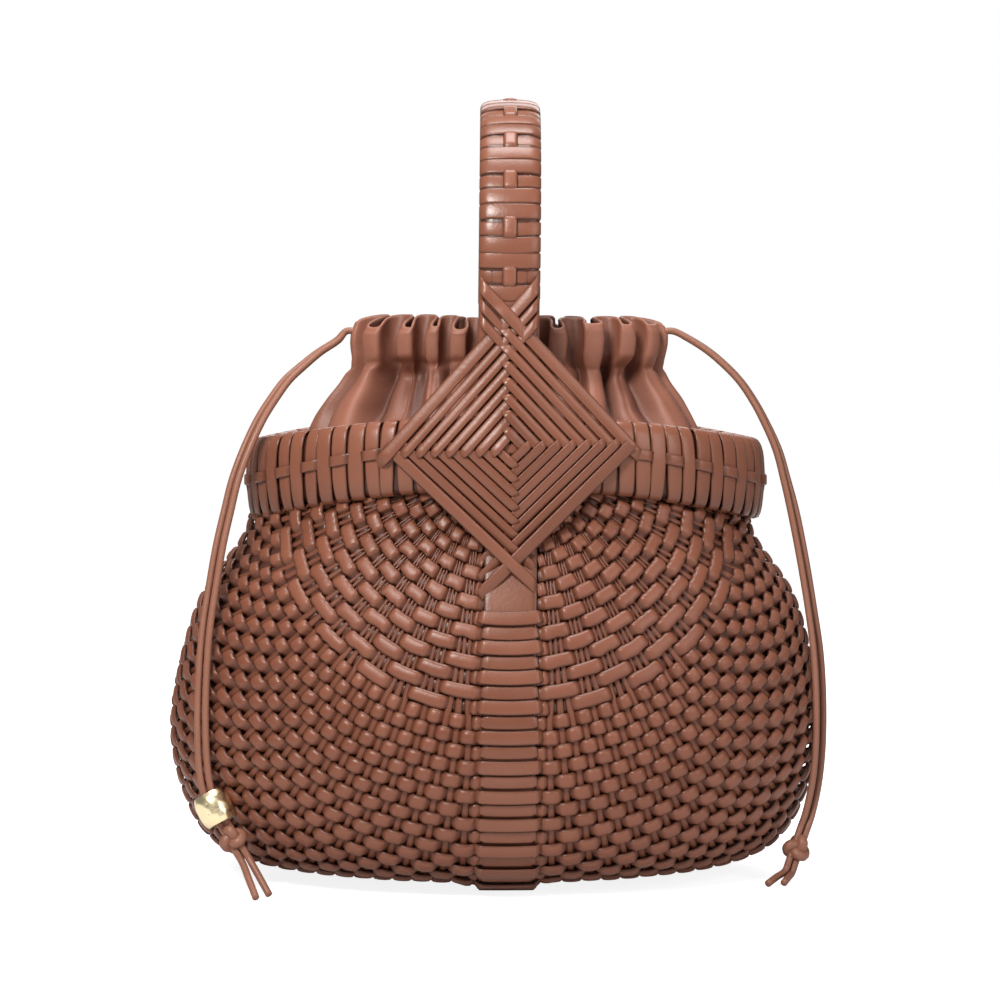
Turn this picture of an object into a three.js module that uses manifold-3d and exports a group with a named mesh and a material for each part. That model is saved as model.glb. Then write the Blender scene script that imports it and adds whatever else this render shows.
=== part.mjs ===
// A leather basket bag: a woven ribbed basket with a wrapped rim, a hoop handle that runs on as
// the keel, a lashed diamond at each crossing of handle and rim, and a gathered pouch inside.
// Millimetres, +Z up, the front faces -Y. The origin is the middle of the base on the floor.
import * as THREE from "three";
import { mergeVertices } from "three/addons/utils/BufferGeometryUtils.js";
import Module from "manifold-3d";

const wasm = await Module();
wasm.setup();

// Driving sizes of the basket
const clearance = 0.3; // left between pieces that touch
const bellyLeft = 142.5; // widest reach to the left of the hoop's plane
const bellyRight = 136;
const bellyDepth = 88; // half the depth of the belly
const bellyHeight = 66.5; // height of the widest place above the floor
const wallTopFront = 166.7; // top of the woven wall at the front and back
const wallTopSide = 156.9; // the same at the two sides, where the mouth dips
const wallThick = 3;
const leanAtTop = 3.9; // how far the whole bag leans right at the top of the handle
const ridgeCount = 18; // ridges of the weave over the ribs, from one side to the other
const ridgeDepth = 1.2; // how far the wall sinks between two ridges
const wallRows = 16; // rows of facets from one diamond to the other
const roundSteps = 72; // sides of a form that only cuts others

// The outline of the basket, bottom to top. Heights are shares of the wall's top at the front,
// widths and depths are shares of the belly.
const basketSections = [
  { height: 0.0, width: 0.42, depth: 0.4 },
  { height: 0.012, width: 0.66, depth: 0.62 },
  { height: 0.045, width: 0.81, depth: 0.77 },
  { height: 0.11, width: 0.905, depth: 0.88 },
  { height: 0.2, width: 0.96, depth: 0.95 },
  { height: 0.3, width: 0.992, depth: 0.992 },
  { height: 0.39, width: 1.0, depth: 1.0 },
  { height: 0.49, width: 0.988, depth: 0.985 },
  { height: 0.6, width: 0.96, depth: 0.95 },
  { height: 0.72, width: 0.915, depth: 0.895 },
  { height: 0.82, width: 0.855, depth: 0.83 },
  { height: 0.89, width: 0.8, depth: 0.77 },
  { height: 0.945, width: 0.775, depth: 0.725 },
  { height: 1.0, width: 0.77, depth: 0.712 },
];

// Driving sizes of the rim, the hoop of the handle and keel, and the diamonds
const rimHalfWidth = 106; // to the middle of the rim's thickness
const rimHalfDepth = 62.5;
const rimOut = 5.8; // how far the rim's roll stands outside that line
const rimIn = 5.5;
const rimHeight = 31.5;
const wrapPitch = 6.6; // one turn of the leather strip
const wrapGroove = 0.7; // how deep the line between two turns is
const handleWidth = 25.5;
const handleThick = 8;
const archTop = 333.5; // top of the handle above the floor
const archSpring = 265; // where the straight legs turn into the arch
const archHalfDepth = 58; // to the middle of the handle's thickness
const keelWidth = 26;
const keelThick = 2.2;
const keelPitch = 12.1; // from one weaver over the keel to the next
const keelStep = 0.6; // how far the keel sinks between two weavers
const diamondHalfWidth = 48.5;
const diamondUp = 55;
const diamondDown = 53.6;
const diamondTurn = 3.2; // degrees, right corner up
const diamondShift = 1.8; // to the right of the hoop's middle
const diamondLayers = 9;
const stripThick = 2.6; // a diamond's outermost strip
const layerRise = 0.45; // each layer stands this much prouder than the one outside it

// Driving sizes of the pouch and its drawcords
const pouchWall = 2;
const casingWall = 4; // two layers of leather with the cords between them
const pouchFolds = 18;
const foldDepth = 6.5; // from the middle of the gathered leather to the foot of a valley
const mouthHalfWidth = 62.8;
const mouthHalfDepth = 26.5;
const mouthTop = 240.5;
const mouthShift = 1.3; // the mouth sits this far right of the hoop's middle
const mouthTaper = 0.2; // the share of the pouch's height over which it moves that far
const cordRadius = 1.5;
const cordSides = 7;
const cordStep = 10; // length of one straight piece of a cord
const cordLead = 4; // straight stretch at a strand's two ends
const beadRadius = 7.4;
const beadLength = 13.5;
const beadPlay = 0.9; // the strands' room in the bead's hole
const knotLength = 12;
const knotRadius = 5.4;

// The pouch inside the basket, bottom to top. Heights are shares of the wall's top, and inset
// is how far inside the wall's outside it hangs, in wall thicknesses.
const liningSections = [
  { height: 0.0, inset: 6 },
  { height: 0.08, inset: 7 },
  { height: 0.16, inset: 4.6 },
  { height: 0.45, inset: 2.3 },
  { height: 0.92, inset: 3.6 },
];
// The pouch above the rim. Heights, widths and depths are shares of the mouth's own, folds are
// shares of the fold's depth, and wall goes from a single layer, 0, to the casing, 1.
const pouchSections = [
  { height: 0.8, width: 1.32, depth: 1.66, fold: 0.3, wall: 0 },
  { height: 0.86, width: 1.21, depth: 1.36, fold: 0.7, wall: 0 },
  { height: 0.905, width: 1.07, depth: 1.09, fold: 0.95, wall: 0 },
  { height: 0.918, width: 1.0, depth: 1.0, fold: 0.85, wall: 1 },
  { height: 0.96, width: 1.005, depth: 1.0, fold: 1.0, wall: 1 },
  { height: 1.0, width: 0.985, depth: 1.0, fold: 1.0, wall: 1 },
];

// Middle line of each pair of drawcord strands, from the pouch to the knot, as chosen points.
// apartX and apartY are half the way from one strand to the other.
const leftRoute = [
  { x: -62, y: 0, z: 234.5, apartX: 0, apartY: 1.7 },
  { x: -70.2, y: -2, z: 230.7, apartX: -0.4, apartY: 1.65 },
  { x: -78.2, y: -6, z: 225.3, apartX: -0.7, apartY: 1.55 },
  { x: -85.6, y: -11, z: 219, apartX: -1.0, apartY: 1.4 },
  { x: -91.3, y: -16, z: 213.5, apartX: -1.15, apartY: 1.25 },
  { x: -97.2, y: -22, z: 205, apartX: -1.25, apartY: 1.15 },
  { x: -102, y: -27, z: 196.8, apartX: -1.3, apartY: 1.1 },
  { x: -107.6, y: -31, z: 184.3, apartX: -1.35, apartY: 1.05 },
  { x: -112, y: -34, z: 171.8, apartX: -1.4, apartY: 1.0 },
  { x: -115, y: -36, z: 159.2, apartX: -1.45, apartY: 0.95 },
  { x: -118.2, y: -38.5, z: 144.7, apartX: -1.5, apartY: 0.9 },
  { x: -121.3, y: -41, z: 126, apartX: -1.55, apartY: 0.8 },
  { x: -123.6, y: -43.5, z: 109.4, apartX: -1.6, apartY: 0.7 },
  { x: -125, y: -46, z: 88.7, apartX: -1.65, apartY: 0.6 },
  { x: -125.3, y: -48, z: 70, apartX: -1.7, apartY: 0.5 },
  { x: -124.6, y: -50, z: 55, apartX: -1.75, apartY: 0.4 },
  { x: -123, y: -51.5, z: 44.2, apartX: -1.8, apartY: 0.2 },
  { x: -119.6, y: -53, z: 36, apartX: -1.85, apartY: 0.1 },
  { x: -112, y: -55.5, z: 23.8, apartX: -1.9, apartY: 0.1 },
];
const rightRoute = [
  { x: 68, y: 0, z: 234.5, apartX: 0, apartY: 1.7 },
  { x: 81, y: -1, z: 231.3, apartX: 0.3, apartY: 1.65 },
  { x: 88.4, y: -2.5, z: 226.6, apartX: 0.4, apartY: 1.65 },
  { x: 94.6, y: -4, z: 221.5, apartX: 0.45, apartY: 1.65 },
  { x: 102.4, y: -6, z: 213.5, apartX: 0.45, apartY: 1.65 },
  { x: 108.2, y: -8, z: 205, apartX: 0.5, apartY: 1.65 },
  { x: 112.8, y: -10, z: 196.4, apartX: 0.6, apartY: 1.6 },
  { x: 118.5, y: -11.5, z: 183.5, apartX: 0.8, apartY: 1.55 },
  { x: 122, y: -12.5, z: 170.7, apartX: 1.0, apartY: 1.5 },
  { x: 125.1, y: -13.5, z: 158, apartX: 1.3, apartY: 1.6 },
  { x: 129.3, y: -15, z: 136.5, apartX: 1.4, apartY: 1.9 },
  { x: 132.8, y: -16.5, z: 115, apartX: 1.5, apartY: 2.6 },
  { x: 135.2, y: -18, z: 97, apartX: 1.8, apartY: 3.6 },
  { x: 136.2, y: -20, z: 76.8, apartX: 2.0, apartY: 4.5 },
  { x: 135.8, y: -22, z: 56.5, apartX: 2.0, apartY: 4.3 },
  { x: 134, y: -24, z: 41, apartX: 1.9, apartY: 3.2 },
  { x: 130.8, y: -26.5, z: 28, apartX: 1.7, apartY: 1.4 },
  { x: 125.8, y: -29, z: 14.6, apartX: 1.65, apartY: 0.7 },
];
// The tips of the loose ends below each knot, and the side of the pair that each starts on
const leftEnds = [
  { name: "a", side: 1, x: -101, y: -72, z: 2 },
  { name: "b", side: -1, x: -96, y: -66, z: 2 },
];
const rightEnds = [
  { name: "a", side: 1, x: 119, y: -41, z: 2 },
  { name: "b", side: -1, x: 112, y: -43, z: 2 },
];

const leather = new THREE.MeshStandardMaterial({ color: 0x8b5a43, roughness: 0.42 });
const darkLeather = new THREE.MeshStandardMaterial({ color: 0x74473a, roughness: 0.5 });
const cordLeather = new THREE.MeshStandardMaterial({ color: 0x80563f, roughness: 0.5 });
const gold = new THREE.MeshStandardMaterial({ color: 0xe3cd95, roughness: 0.28, metalness: 1 });

// The leaning middle line of the bag at height z
const middleX = (z) => (leanAtTop * z) / archTop;

// The bag is built with the foot of its middle line at zero, and moved so that the middle of the
// box round it is the origin.
const group = new THREE.Group();
const bag = new THREE.Group();
bag.position.x = (bellyLeft - bellyRight) / 2 - middleX(bellyHeight);
group.add(bag);

// Reads a column of a table at a given height share, with a smooth curve through the rows.
function readTable(rows, height, column) {
  const last = rows.length - 1;
  if (height <= rows[0].height) return rows[0][column];
  if (height >= rows[last].height) return rows[last][column];
  const i = rows.findIndex((row) => row.height > height) - 1;
  const slope = (k) => {
    const before = rows[Math.max(k - 1, 0)];
    const after = rows[Math.min(k + 1, last)];
    return (after[column] - before[column]) / (after.height - before.height);
  };
  const step = rows[i + 1].height - rows[i].height;
  const t = (height - rows[i].height) / step;
  const startWeight = 2 * t ** 3 - 3 * t ** 2 + 1;
  const endWeight = 3 * t ** 2 - 2 * t ** 3;
  const startPull = (t ** 3 - 2 * t ** 2 + t) * step * slope(i);
  const endPull = (t ** 3 - t ** 2) * step * slope(i + 1);
  return rows[i][column] * startWeight + rows[i + 1][column] * endWeight + startPull + endPull;
}

// A closed geometry over rings of equal length. The first and last ring are joined to each
// other, or closed each by a fan around its middle.
function skin(rings, joined = false) {
  const around = rings[0].length;
  const points = rings.flat();
  const faces = [];
  const strips = joined ? rings.length : rings.length - 1;
  for (let i = 0; i < strips; i++)
    for (let j = 0; j < around; j++) {
      const a = i * around + j;
      const b = i * around + ((j + 1) % around);
      const c = ((i + 1) % rings.length) * around + j;
      const d = ((i + 1) % rings.length) * around + ((j + 1) % around);
      faces.push(a, b, d, a, d, c);
    }
  if (!joined)
    [0, rings.length - 1].forEach((ring, side) => {
      const middle = rings[ring].reduce((sum, p) => sum.add(p), new THREE.Vector3());
      points.push(middle.divideScalar(around));
      for (let j = 0; j < around; j++) {
        const a = ring * around + j;
        const b = ring * around + ((j + 1) % around);
        faces.push(...(side ? [a, b, points.length - 1] : [b, a, points.length - 1]));
      }
    });
  const geometry = new THREE.BufferGeometry().setFromPoints(points);
  geometry.setIndex(faces);
  return facingOut(geometry);
}

// Turns the faces round if they point inwards.
function facingOut(geometry) {
  const place = geometry.getAttribute("position");
  const index = geometry.index.array;
  const corner = (k) => new THREE.Vector3().fromBufferAttribute(place, index[k]);
  let volume = 0;
  for (let k = 0; k < index.length; k += 3)
    volume += corner(k).dot(corner(k + 1).cross(corner(k + 2)));
  if (volume < 0)
    for (let k = 0; k < index.length; k += 3)
      [index[k + 1], index[k + 2]] = [index[k + 2], index[k + 1]];
  geometry.computeVertexNormals();
  return geometry;
}

// Cuts the other closed geometries away from the first, and keeps the largest body that is left.
function cutAway(geometry, others) {
  const asManifold = (closed) => {
    const bare = closed.clone().deleteAttribute("normal");
    const merged = mergeVertices(bare, 1e-4);
    return new wasm.Manifold(
      new wasm.Mesh({
        numProp: 3,
        vertProperties: new Float32Array(merged.attributes.position.array),
        triVerts: new Uint32Array(merged.index.array),
      }),
    );
  };
  const left = others.reduce((body, other) => body.subtract(asManifold(other)), asManifold(geometry));
  const [largest] = left.decompose().sort((a, b) => b.volume() - a.volume());
  const mesh = largest.getMesh();
  const result = new THREE.BufferGeometry();
  result.setAttribute("position", new THREE.BufferAttribute(mesh.vertProperties, 3));
  result.setIndex(new THREE.BufferAttribute(mesh.triVerts, 1));
  result.computeVertexNormals();
  return result;
}

function add(name, geometry, material, parent = bag) {
  const mesh = new THREE.Mesh(geometry, material);
  mesh.name = name;
  parent.add(mesh);
}

const circle = (count) => Array.from({ length: count }, (_, k) => (2 * Math.PI * k) / count);

// Angles round an ellipse that lie equally far apart along it, the first one moved on by shift
// of a step
function evenAngles(count, halfWidth, halfDepth, shift = 0) {
  const line = new THREE.EllipseCurve(0, 0, halfWidth, halfDepth);
  return Array.from({ length: count }, (_, k) => {
    const p = line.getPointAt((k + shift) / count);
    return Math.atan2(p.y / halfDepth, p.x / halfWidth);
  });
}

// The line where wall and rim meet dips from the front and back to the sides.
const wallTop = (angle) => wallTopSide + (wallTopFront - wallTopSide) * Math.sin(angle) ** 2;
const wallBottom = keelThick + clearance;
const wallHeight = wallTopFront - wallBottom;
const rimMiddleZ = (angle) => wallTop(angle) + clearance + rimHeight / 2;
const diamondZ = rimMiddleZ(Math.PI / 2);

// The half width to one side and the half depth of the basket at height z
const halfWidthAt = (z, side) =>
  (side < 0 ? bellyLeft : bellyRight) *
  readTable(basketSections, (z - wallBottom) / wallHeight, "width");
const halfDepthAt = (z) =>
  bellyDepth * readTable(basketSections, (z - wallBottom) / wallHeight, "depth");

// Where the wall lies along a ray from the line between the two diamonds. The ribs run at equal
// values of round, which turns about that line, and the weavers cross them at equal along.
function wallPoint(round, along, inset) {
  const ray = new THREE.Vector3(
    Math.sin(along) * Math.sin(round),
    -Math.cos(along),
    -Math.sin(along) * Math.cos(round),
  );
  const at = (reach) => new THREE.Vector3(diamondShift, 0, diamondZ).addScaledVector(ray, reach);
  let near = 0;
  let far = 2 * bellyLeft;
  for (let k = 0; k < 24; k++) {
    const reach = (near + far) / 2;
    const p = at(reach);
    const x = p.x / halfWidthAt(p.z, p.x);
    const y = p.y / halfDepthAt(p.z);
    if (p.z > wallBottom && x * x + y * y < 1) near = reach;
    else far = reach;
  }
  const point = at(near - inset);
  point.x += middleX(point.z);
  return point;
}

// The closed form of the woven wall up to the height of the diamonds, in ridges along the ribs
function wallForm(inset, steps, ridge) {
  return skin(
    Array.from({ length: wallRows - 1 }, (_, i) =>
      Array.from({ length: steps + 1 }, (__, k) => {
        const round = Math.PI * (k / steps - 0.5);
        return wallPoint(round, (Math.PI * (i + 1)) / wallRows, inset + (k % 2 ? ridge : 0));
      }),
    ),
  );
}

// All that lies above the line where wall and rim meet
function aboveWall() {
  const ring = (share, lift) =>
    circle(roundSteps).map((angle) => {
      const x = middleX(wallTop(angle)) + share * rimHalfWidth * Math.cos(angle);
      return new THREE.Vector3(x, share * rimHalfDepth * Math.sin(angle), wallTop(angle) + lift);
    });
  return skin([ring(0.5, -clearance), ring(2, -clearance), ring(2, wallTopFront)]);
}

function basketShell() {
  const inside = wallForm(wallThick, ridgeCount, 0);
  return cutAway(wallForm(0, 2 * ridgeCount, ridgeDepth), [inside, aboveWall()]);
}

// The rim's section, as outward and upward shares of its roll, its inner side and its height
const rimProfile = [
  { out: 0.3, up: -0.5 },
  { out: 1.0, up: -0.08 },
  { out: 0.3, up: 0.45 },
  { out: -0.85, up: 0.5 },
  { out: -0.85, up: -0.5 },
];

function rimSection(angle, sink, grow = 0) {
  const outward = new THREE.Vector3(
    Math.cos(angle) / rimHalfWidth,
    Math.sin(angle) / rimHalfDepth,
    0,
  ).normalize();
  return rimProfile.map(({ out, up }) => {
    const reach = out * ((out > 0 ? rimOut : rimIn) + grow - sink);
    const z = rimMiddleZ(angle) + up * (rimHeight + 2 * grow);
    return new THREE.Vector3(
      middleX(z) + rimHalfWidth * Math.cos(angle) + outward.x * reach,
      rimHalfDepth * Math.sin(angle) + outward.y * reach,
      z,
    );
  });
}

function rimHoop() {
  const line = new THREE.EllipseCurve(0, 0, rimHalfWidth, rimHalfDepth);
  const turns = Math.round(line.getLength() / wrapPitch);
  const angles = evenAngles(2 * turns, rimHalfWidth, rimHalfDepth);
  return skin(angles.map((angle, k) => rimSection(angle, k % 2 ? wrapGroove : 0)), true);
}

// The rim without its wraps and a clearance larger, for cutting what lies against it
const rimBlock = () =>
  skin(circle(roundSteps).map((angle) => rimSection(angle, 0, clearance)), true);

// Sections of the hoop in the plane of the bag's middle, as shares of its width and thickness
const roundedBand = [
  { side: -0.5, out: 0 },
  { side: -0.42, out: 0.5 },
  { side: 0.42, out: 0.5 },
  { side: 0.5, out: 0 },
  { side: 0.42, out: -0.5 },
  { side: -0.42, out: -0.5 },
];
const flatBand = [
  { side: -0.5, out: 0.5 },
  { side: 0.5, out: 0.5 },
  { side: 0.5, out: -0.5 },
  { side: -0.5, out: -0.5 },
];

function hoopSection(section, point, outward, width, thick) {
  return section.map(({ side, out }) => {
    const place = point.clone().addScaledVector(outward, out * thick);
    place.x = middleX(place.z) + side * width;
    return place;
  });
}

const legFoot = diamondZ + rimHeight / 2 + clearance;

// How far the middle of a leg lies out from the bag's middle at height z
function legOut(z) {
  const foot = rimHalfDepth + rimOut - handleThick / 2;
  const share = THREE.MathUtils.clamp((z - legFoot) / (archSpring - legFoot), 0, 1);
  return foot + (archHalfDepth - foot) * share * (2 - share);
}

// The handle's line in side view: a leg, half an ellipse, and the other leg
function handleLine() {
  const rise = archTop - handleThick / 2 - archSpring;
  const arc = Array.from({ length: 13 }, (_, k) => {
    const turn = (Math.PI * k) / 12;
    const y = -archHalfDepth * Math.cos(turn);
    return new THREE.Vector3(0, y, archSpring + rise * Math.sin(turn));
  });
  const leg = (side) =>
    [0, 0.5].map((share) => {
      const z = legFoot + (archSpring - legFoot) * share;
      return new THREE.Vector3(0, side * legOut(z), z);
    });
  return new THREE.CatmullRomCurve3([...leg(-1), ...arc, ...leg(1).reverse()], false, "centripetal");
}

// Sections along the handle. Every second one sinks by the groove between two wraps.
function handleRings(steps, groove, grow = 0) {
  const line = handleLine();
  return Array.from({ length: steps + 1 }, (_, k) => {
    const tangent = line.getTangentAt(k / steps);
    const outward = new THREE.Vector3(0, -tangent.z, tangent.y);
    const less = (k % 2 ? 0 : groove) - 2 * grow;
    const width = handleWidth - less;
    const point = line.getPointAt(k / steps);
    const ring = hoopSection(roundedBand, point, outward, width, handleThick - less);
    if (k % steps === 0) ring.forEach((p) => p.setZ(legFoot - grow));
    return ring;
  });
}

function handleHoop() {
  const turns = Math.round(handleLine().getLength() / wrapPitch);
  return skin(handleRings(2 * turns, wrapGroove));
}

// The keel's line follows the wall down the front, under the base and up the back.
function keelLine() {
  const down = basketSections
    .map(({ height }) => wallBottom + height * wallHeight)
    .map((z) => new THREE.Vector3(0, -halfDepthAt(z), z))
    .reverse();
  const up = down.map((p) => new THREE.Vector3(0, -p.y, p.z)).reverse();
  return new THREE.CatmullRomCurve3([...down, ...up], false, "centripetal");
}

// Sections along the keel, proud at each weaver and sunk between two, and pressed flat where
// the bag stands. They reach as far into the wall as they stand out.
function keelRings(grow = 0) {
  const line = keelLine();
  const weavers = Math.round(line.getLength() / keelPitch);
  return Array.from({ length: 2 * weavers + 1 }, (_, k) => {
    const along = k / (2 * weavers);
    const tangent = line.getTangentAt(along);
    const outward = new THREE.Vector3(0, tangent.z, -tangent.y);
    const sink = grow || k % 2 ? 0 : keelStep;
    const thick = 2 * (clearance + keelThick - sink + grow);
    const width = keelWidth - 2 * sink + 2 * grow;
    const ring = hoopSection(flatBand, line.getPointAt(along), outward, width, thick);
    ring.filter((p) => p.z < keelStep + clearance).forEach((p) => p.setZ(-grow));
    return ring;
  });
}

// The closed outer form of the wall, a little larger, for cutting what lies against it
function wallBlock() {
  const grow = 3 * clearance;
  const rings = basketSections.map((row) => {
    const z = wallBottom + row.height * wallHeight;
    return circle(roundSteps).map((angle) => {
      const x = (halfWidthAt(z, Math.cos(angle)) + grow) * Math.cos(angle);
      const y = (halfDepthAt(z) + grow) * Math.sin(angle);
      return new THREE.Vector3(middleX(z) + x, y, z - clearance * (1 - row.height));
    });
  });
  const top = rings[rings.length - 1].map((p) => p.clone().setZ(p.z + rimHeight));
  return skin([...rings, top]);
}

const keelBand = () => cutAway(skin(keelRings()), [wallBlock(), rimBlock()]);

// How far the face of the leg, the rim or the keel lies out from the bag's middle
function crossingFace(x, z) {
  const rim = rimHalfDepth + rimOut;
  const keel = halfDepthAt(z) + clearance + keelThick;
  const middle = z > diamondZ ? legOut(z) + handleThick / 2 : Math.max(rim, keel);
  return middle - rim * (1 - Math.sqrt(1 - (x / (rimHalfWidth + rimOut)) ** 2));
}

// A four-sided ring of the diamond, its edges in two steps so that they follow the rim.
// side is -1 at the front and 1 at the back.
function diamondRing(side, share, lift) {
  const turn = THREE.MathUtils.degToRad(diamondTurn) * -side;
  const corners = [
    new THREE.Vector2(-diamondHalfWidth, 0),
    new THREE.Vector2(0, diamondUp),
    new THREE.Vector2(diamondHalfWidth, 0),
    new THREE.Vector2(0, -diamondDown),
  ];
  return corners.flatMap((corner, k) =>
    [0, 0.5].map((step) => {
      const flat = corner.clone().lerp(corners[(k + 1) % 4], step).multiplyScalar(share);
      flat.rotateAround(new THREE.Vector2(), turn);
      const z = diamondZ + flat.y;
      const out = crossingFace(flat.x, z) + lift;
      return new THREE.Vector3(middleX(z) + diamondShift + flat.x, side * out, z);
    }),
  );
}

// The lashed diamond over a crossing: rings of strip, each layer prouder than the one outside it
function diamond(side) {
  const rings = [diamondRing(side, 0.5, clearance), diamondRing(side, 1, clearance)];
  for (let layer = diamondLayers; layer >= 1; layer--) {
    const lift = stripThick + layerRise * (diamondLayers - layer);
    rings.push(diamondRing(side, layer / diamondLayers, lift - layerRise / 2));
    rings.push(diamondRing(side, (layer - 0.4) / diamondLayers, lift));
  }
  const leg = skin(handleRings(24, 0, clearance));
  return cutAway(skin(rings), [rimBlock(), skin(keelRings(clearance)), wallBlock(), leg]);
}

const pouchAngles = evenAngles(3 * pouchFolds, mouthHalfWidth, mouthHalfDepth, 0.5);
// The pouch's middle leaves the hoop's middle line above the rim.
const mouthX = (z) =>
  middleX(z) + mouthShift * Math.max(0, (z / mouthTop - 1 + mouthTaper) / mouthTaper);

// The pouch's half width, half depth, fold and wall at height z above the rim
const pouchLevel = (z) => ({
  z,
  width: mouthHalfWidth * readTable(pouchSections, z / mouthTop, "width"),
  depth: mouthHalfDepth * readTable(pouchSections, z / mouthTop, "depth"),
  fold: foldDepth * readTable(pouchSections, z / mouthTop, "fold"),
  wall: pouchWall + (casingWall - pouchWall) * readTable(pouchSections, z / mouthTop, "wall"),
});

// One ring of the pouch. Each gather is a broad ridge of two points and a deep narrow valley.
function pouchRing(level, inset) {
  return pouchAngles.map((angle, k) => {
    const wave = level.fold * Math.cos((2 * Math.PI * (k + 0.5)) / 3) - inset;
    return new THREE.Vector3(
      mouthX(level.z) + (level.width + wave) * Math.cos(angle),
      (level.depth + wave) * Math.sin(angle),
      level.z,
    );
  });
}

// One ring of the pouch inside the basket
function liningRing(row, inset) {
  const z = wallBottom + row.height * wallHeight;
  const floor = wallBottom + wallThick + clearance;
  const less = row.inset * wallThick + inset;
  return pouchAngles.map((angle) => {
    const x = (halfWidthAt(z, Math.cos(angle)) - less) * Math.cos(angle);
    const y = (halfDepthAt(z) - less) * Math.sin(angle);
    return new THREE.Vector3(middleX(z) + x, y, Math.max(z, floor) + (z > floor ? 0 : inset));
  });
}

// The pouch: up the outside from the basket's floor, past the rim, and down the inside
function pouch() {
  const seat = {
    z: rimMiddleZ(0) + rimHeight / 5,
    width: rimHalfWidth - rimIn - clearance,
    depth: rimHalfDepth - rimIn - clearance,
    fold: 0,
    wall: pouchWall,
  };
  const levels = [seat, ...pouchSections.map((row) => pouchLevel(row.height * mouthTop))];
  const outside = [
    ...liningSections.map((row) => liningRing(row, 0)),
    ...levels.map((level) => pouchRing(level, 0)),
  ];
  const inside = [
    ...liningSections.map((row) => liningRing(row, pouchWall)),
    ...levels.map((level) => pouchRing(level, level.wall)),
  ];
  return skin([...outside, ...inside.reverse()]);
}

// A round tube along a smooth curve through points
function tube(points) {
  const path = new THREE.CatmullRomCurve3(points, false, "centripetal");
  const section = new THREE.Shape(
    circle(cordSides).map(
      (angle) => new THREE.Vector2(cordRadius * Math.cos(angle), cordRadius * Math.sin(angle)),
    ),
  );
  const steps = Math.max(2, Math.round(path.getLength() / cordStep));
  return new THREE.ExtrudeGeometry(section, { steps, extrudePath: path });
}

const pointOf = (row) => new THREE.Vector3(row.x, row.y, row.z);
const apartOf = (row) => new THREE.Vector3(row.apartX, row.apartY, 0);

// Where a pair of strands comes out of the casing, just off the outermost ridge of the pouch
function casingExit(row, lead) {
  const level = pouchLevel(row.z);
  const reach = level.width + level.fold / 2 + clearance + lead;
  return new THREE.Vector3(mouthX(row.z) + Math.sign(row.x) * reach, row.y, row.z);
}

// Two strands side by side down a route, straight where they leave the casing, pass a bead and
// go into the knot, then the knot and the loose ends below it
function drawcord(name, route, ends) {
  const last = route[route.length - 1];
  const knotAt = pointOf(last);
  const fall = knotAt.clone().sub(pointOf(route[route.length - 2])).normalize();
  const stop = knotLength / 2 + clearance;
  const across = apartOf(last).projectOnPlane(fall);
  const stations = [
    { at: casingExit(route[0], 0), apart: apartOf(route[0]) },
    { at: casingExit(route[0], cordLead), apart: apartOf(route[0]) },
    ...route.slice(1, -1).map((row) => ({ at: pointOf(row), apart: apartOf(row) })),
    { at: knotAt.clone().addScaledVector(fall, -stop - cordLead), apart: across },
    { at: knotAt.clone().addScaledVector(fall, -stop), apart: across },
  ];
  [1, -1].forEach((side, k) => {
    const points = stations.map(({ at, apart }) => at.clone().addScaledVector(apart, side));
    add(`drawcord_${name}_${k ? "b" : "a"}`, tube(points), cordLeather);
  });
  const knot = new THREE.SphereGeometry(1, 10, 7);
  knot.scale(knotRadius, knotLength / 2, knotRadius);
  add(`knot_${name}`, knot, cordLeather, placed(knotAt, fall));
  ends.forEach((row) => {
    const start = knotAt.clone().addScaledVector(fall, stop);
    start.addScaledVector(across, row.side);
    const below = start.clone().addScaledVector(fall, cordLead);
    const tip = pointOf(row);
    const path = [start, below, below.clone().lerp(tip, 0.5), tip];
    add(`cord_end_${name}_${row.name}`, tube(path), cordLeather);
  });
}

// A holder at a place whose own -Y points along a direction
function placed(at, along) {
  const holder = new THREE.Group();
  holder.position.copy(at);
  holder.quaternion.setFromUnitVectors(new THREE.Vector3(0, -1, 0), along);
  bag.add(holder);
  return holder;
}

// A round bead with a hole that both strands pass through, just above the knot
function bead(route) {
  const row = route[route.length - 2];
  const hole = cordRadius + apartOf(row).length() + beadPlay;
  const half = beadLength / 2;
  const profile = [
    new THREE.Vector2(hole, -half),
    new THREE.Vector2(beadRadius * 0.86, -half * 0.8),
    new THREE.Vector2(beadRadius, -half * 0.3),
    new THREE.Vector2(beadRadius, half * 0.3),
    new THREE.Vector2(beadRadius * 0.86, half * 0.8),
    new THREE.Vector2(hole, half),
    new THREE.Vector2(hole, -half),
  ];
  const along = pointOf(route[route.length - 1]).sub(pointOf(route[route.length - 3])).normalize();
  add("bead", new THREE.LatheGeometry(profile, 14), gold, placed(pointOf(row), along));
}

add("basket_shell", basketShell(), leather);
add("rim_hoop", rimHoop(), leather);
add("handle_hoop", handleHoop(), leather);
add("keel_band", keelBand(), leather);
add("diamond_front", diamond(-1), leather);
add("diamond_back", diamond(1), leather);
add("pouch", pouch(), darkLeather);
drawcord("left", leftRoute, leftEnds);
drawcord("right", rightRoute, rightEnds);
bead(leftRoute);

export default group;
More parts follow.
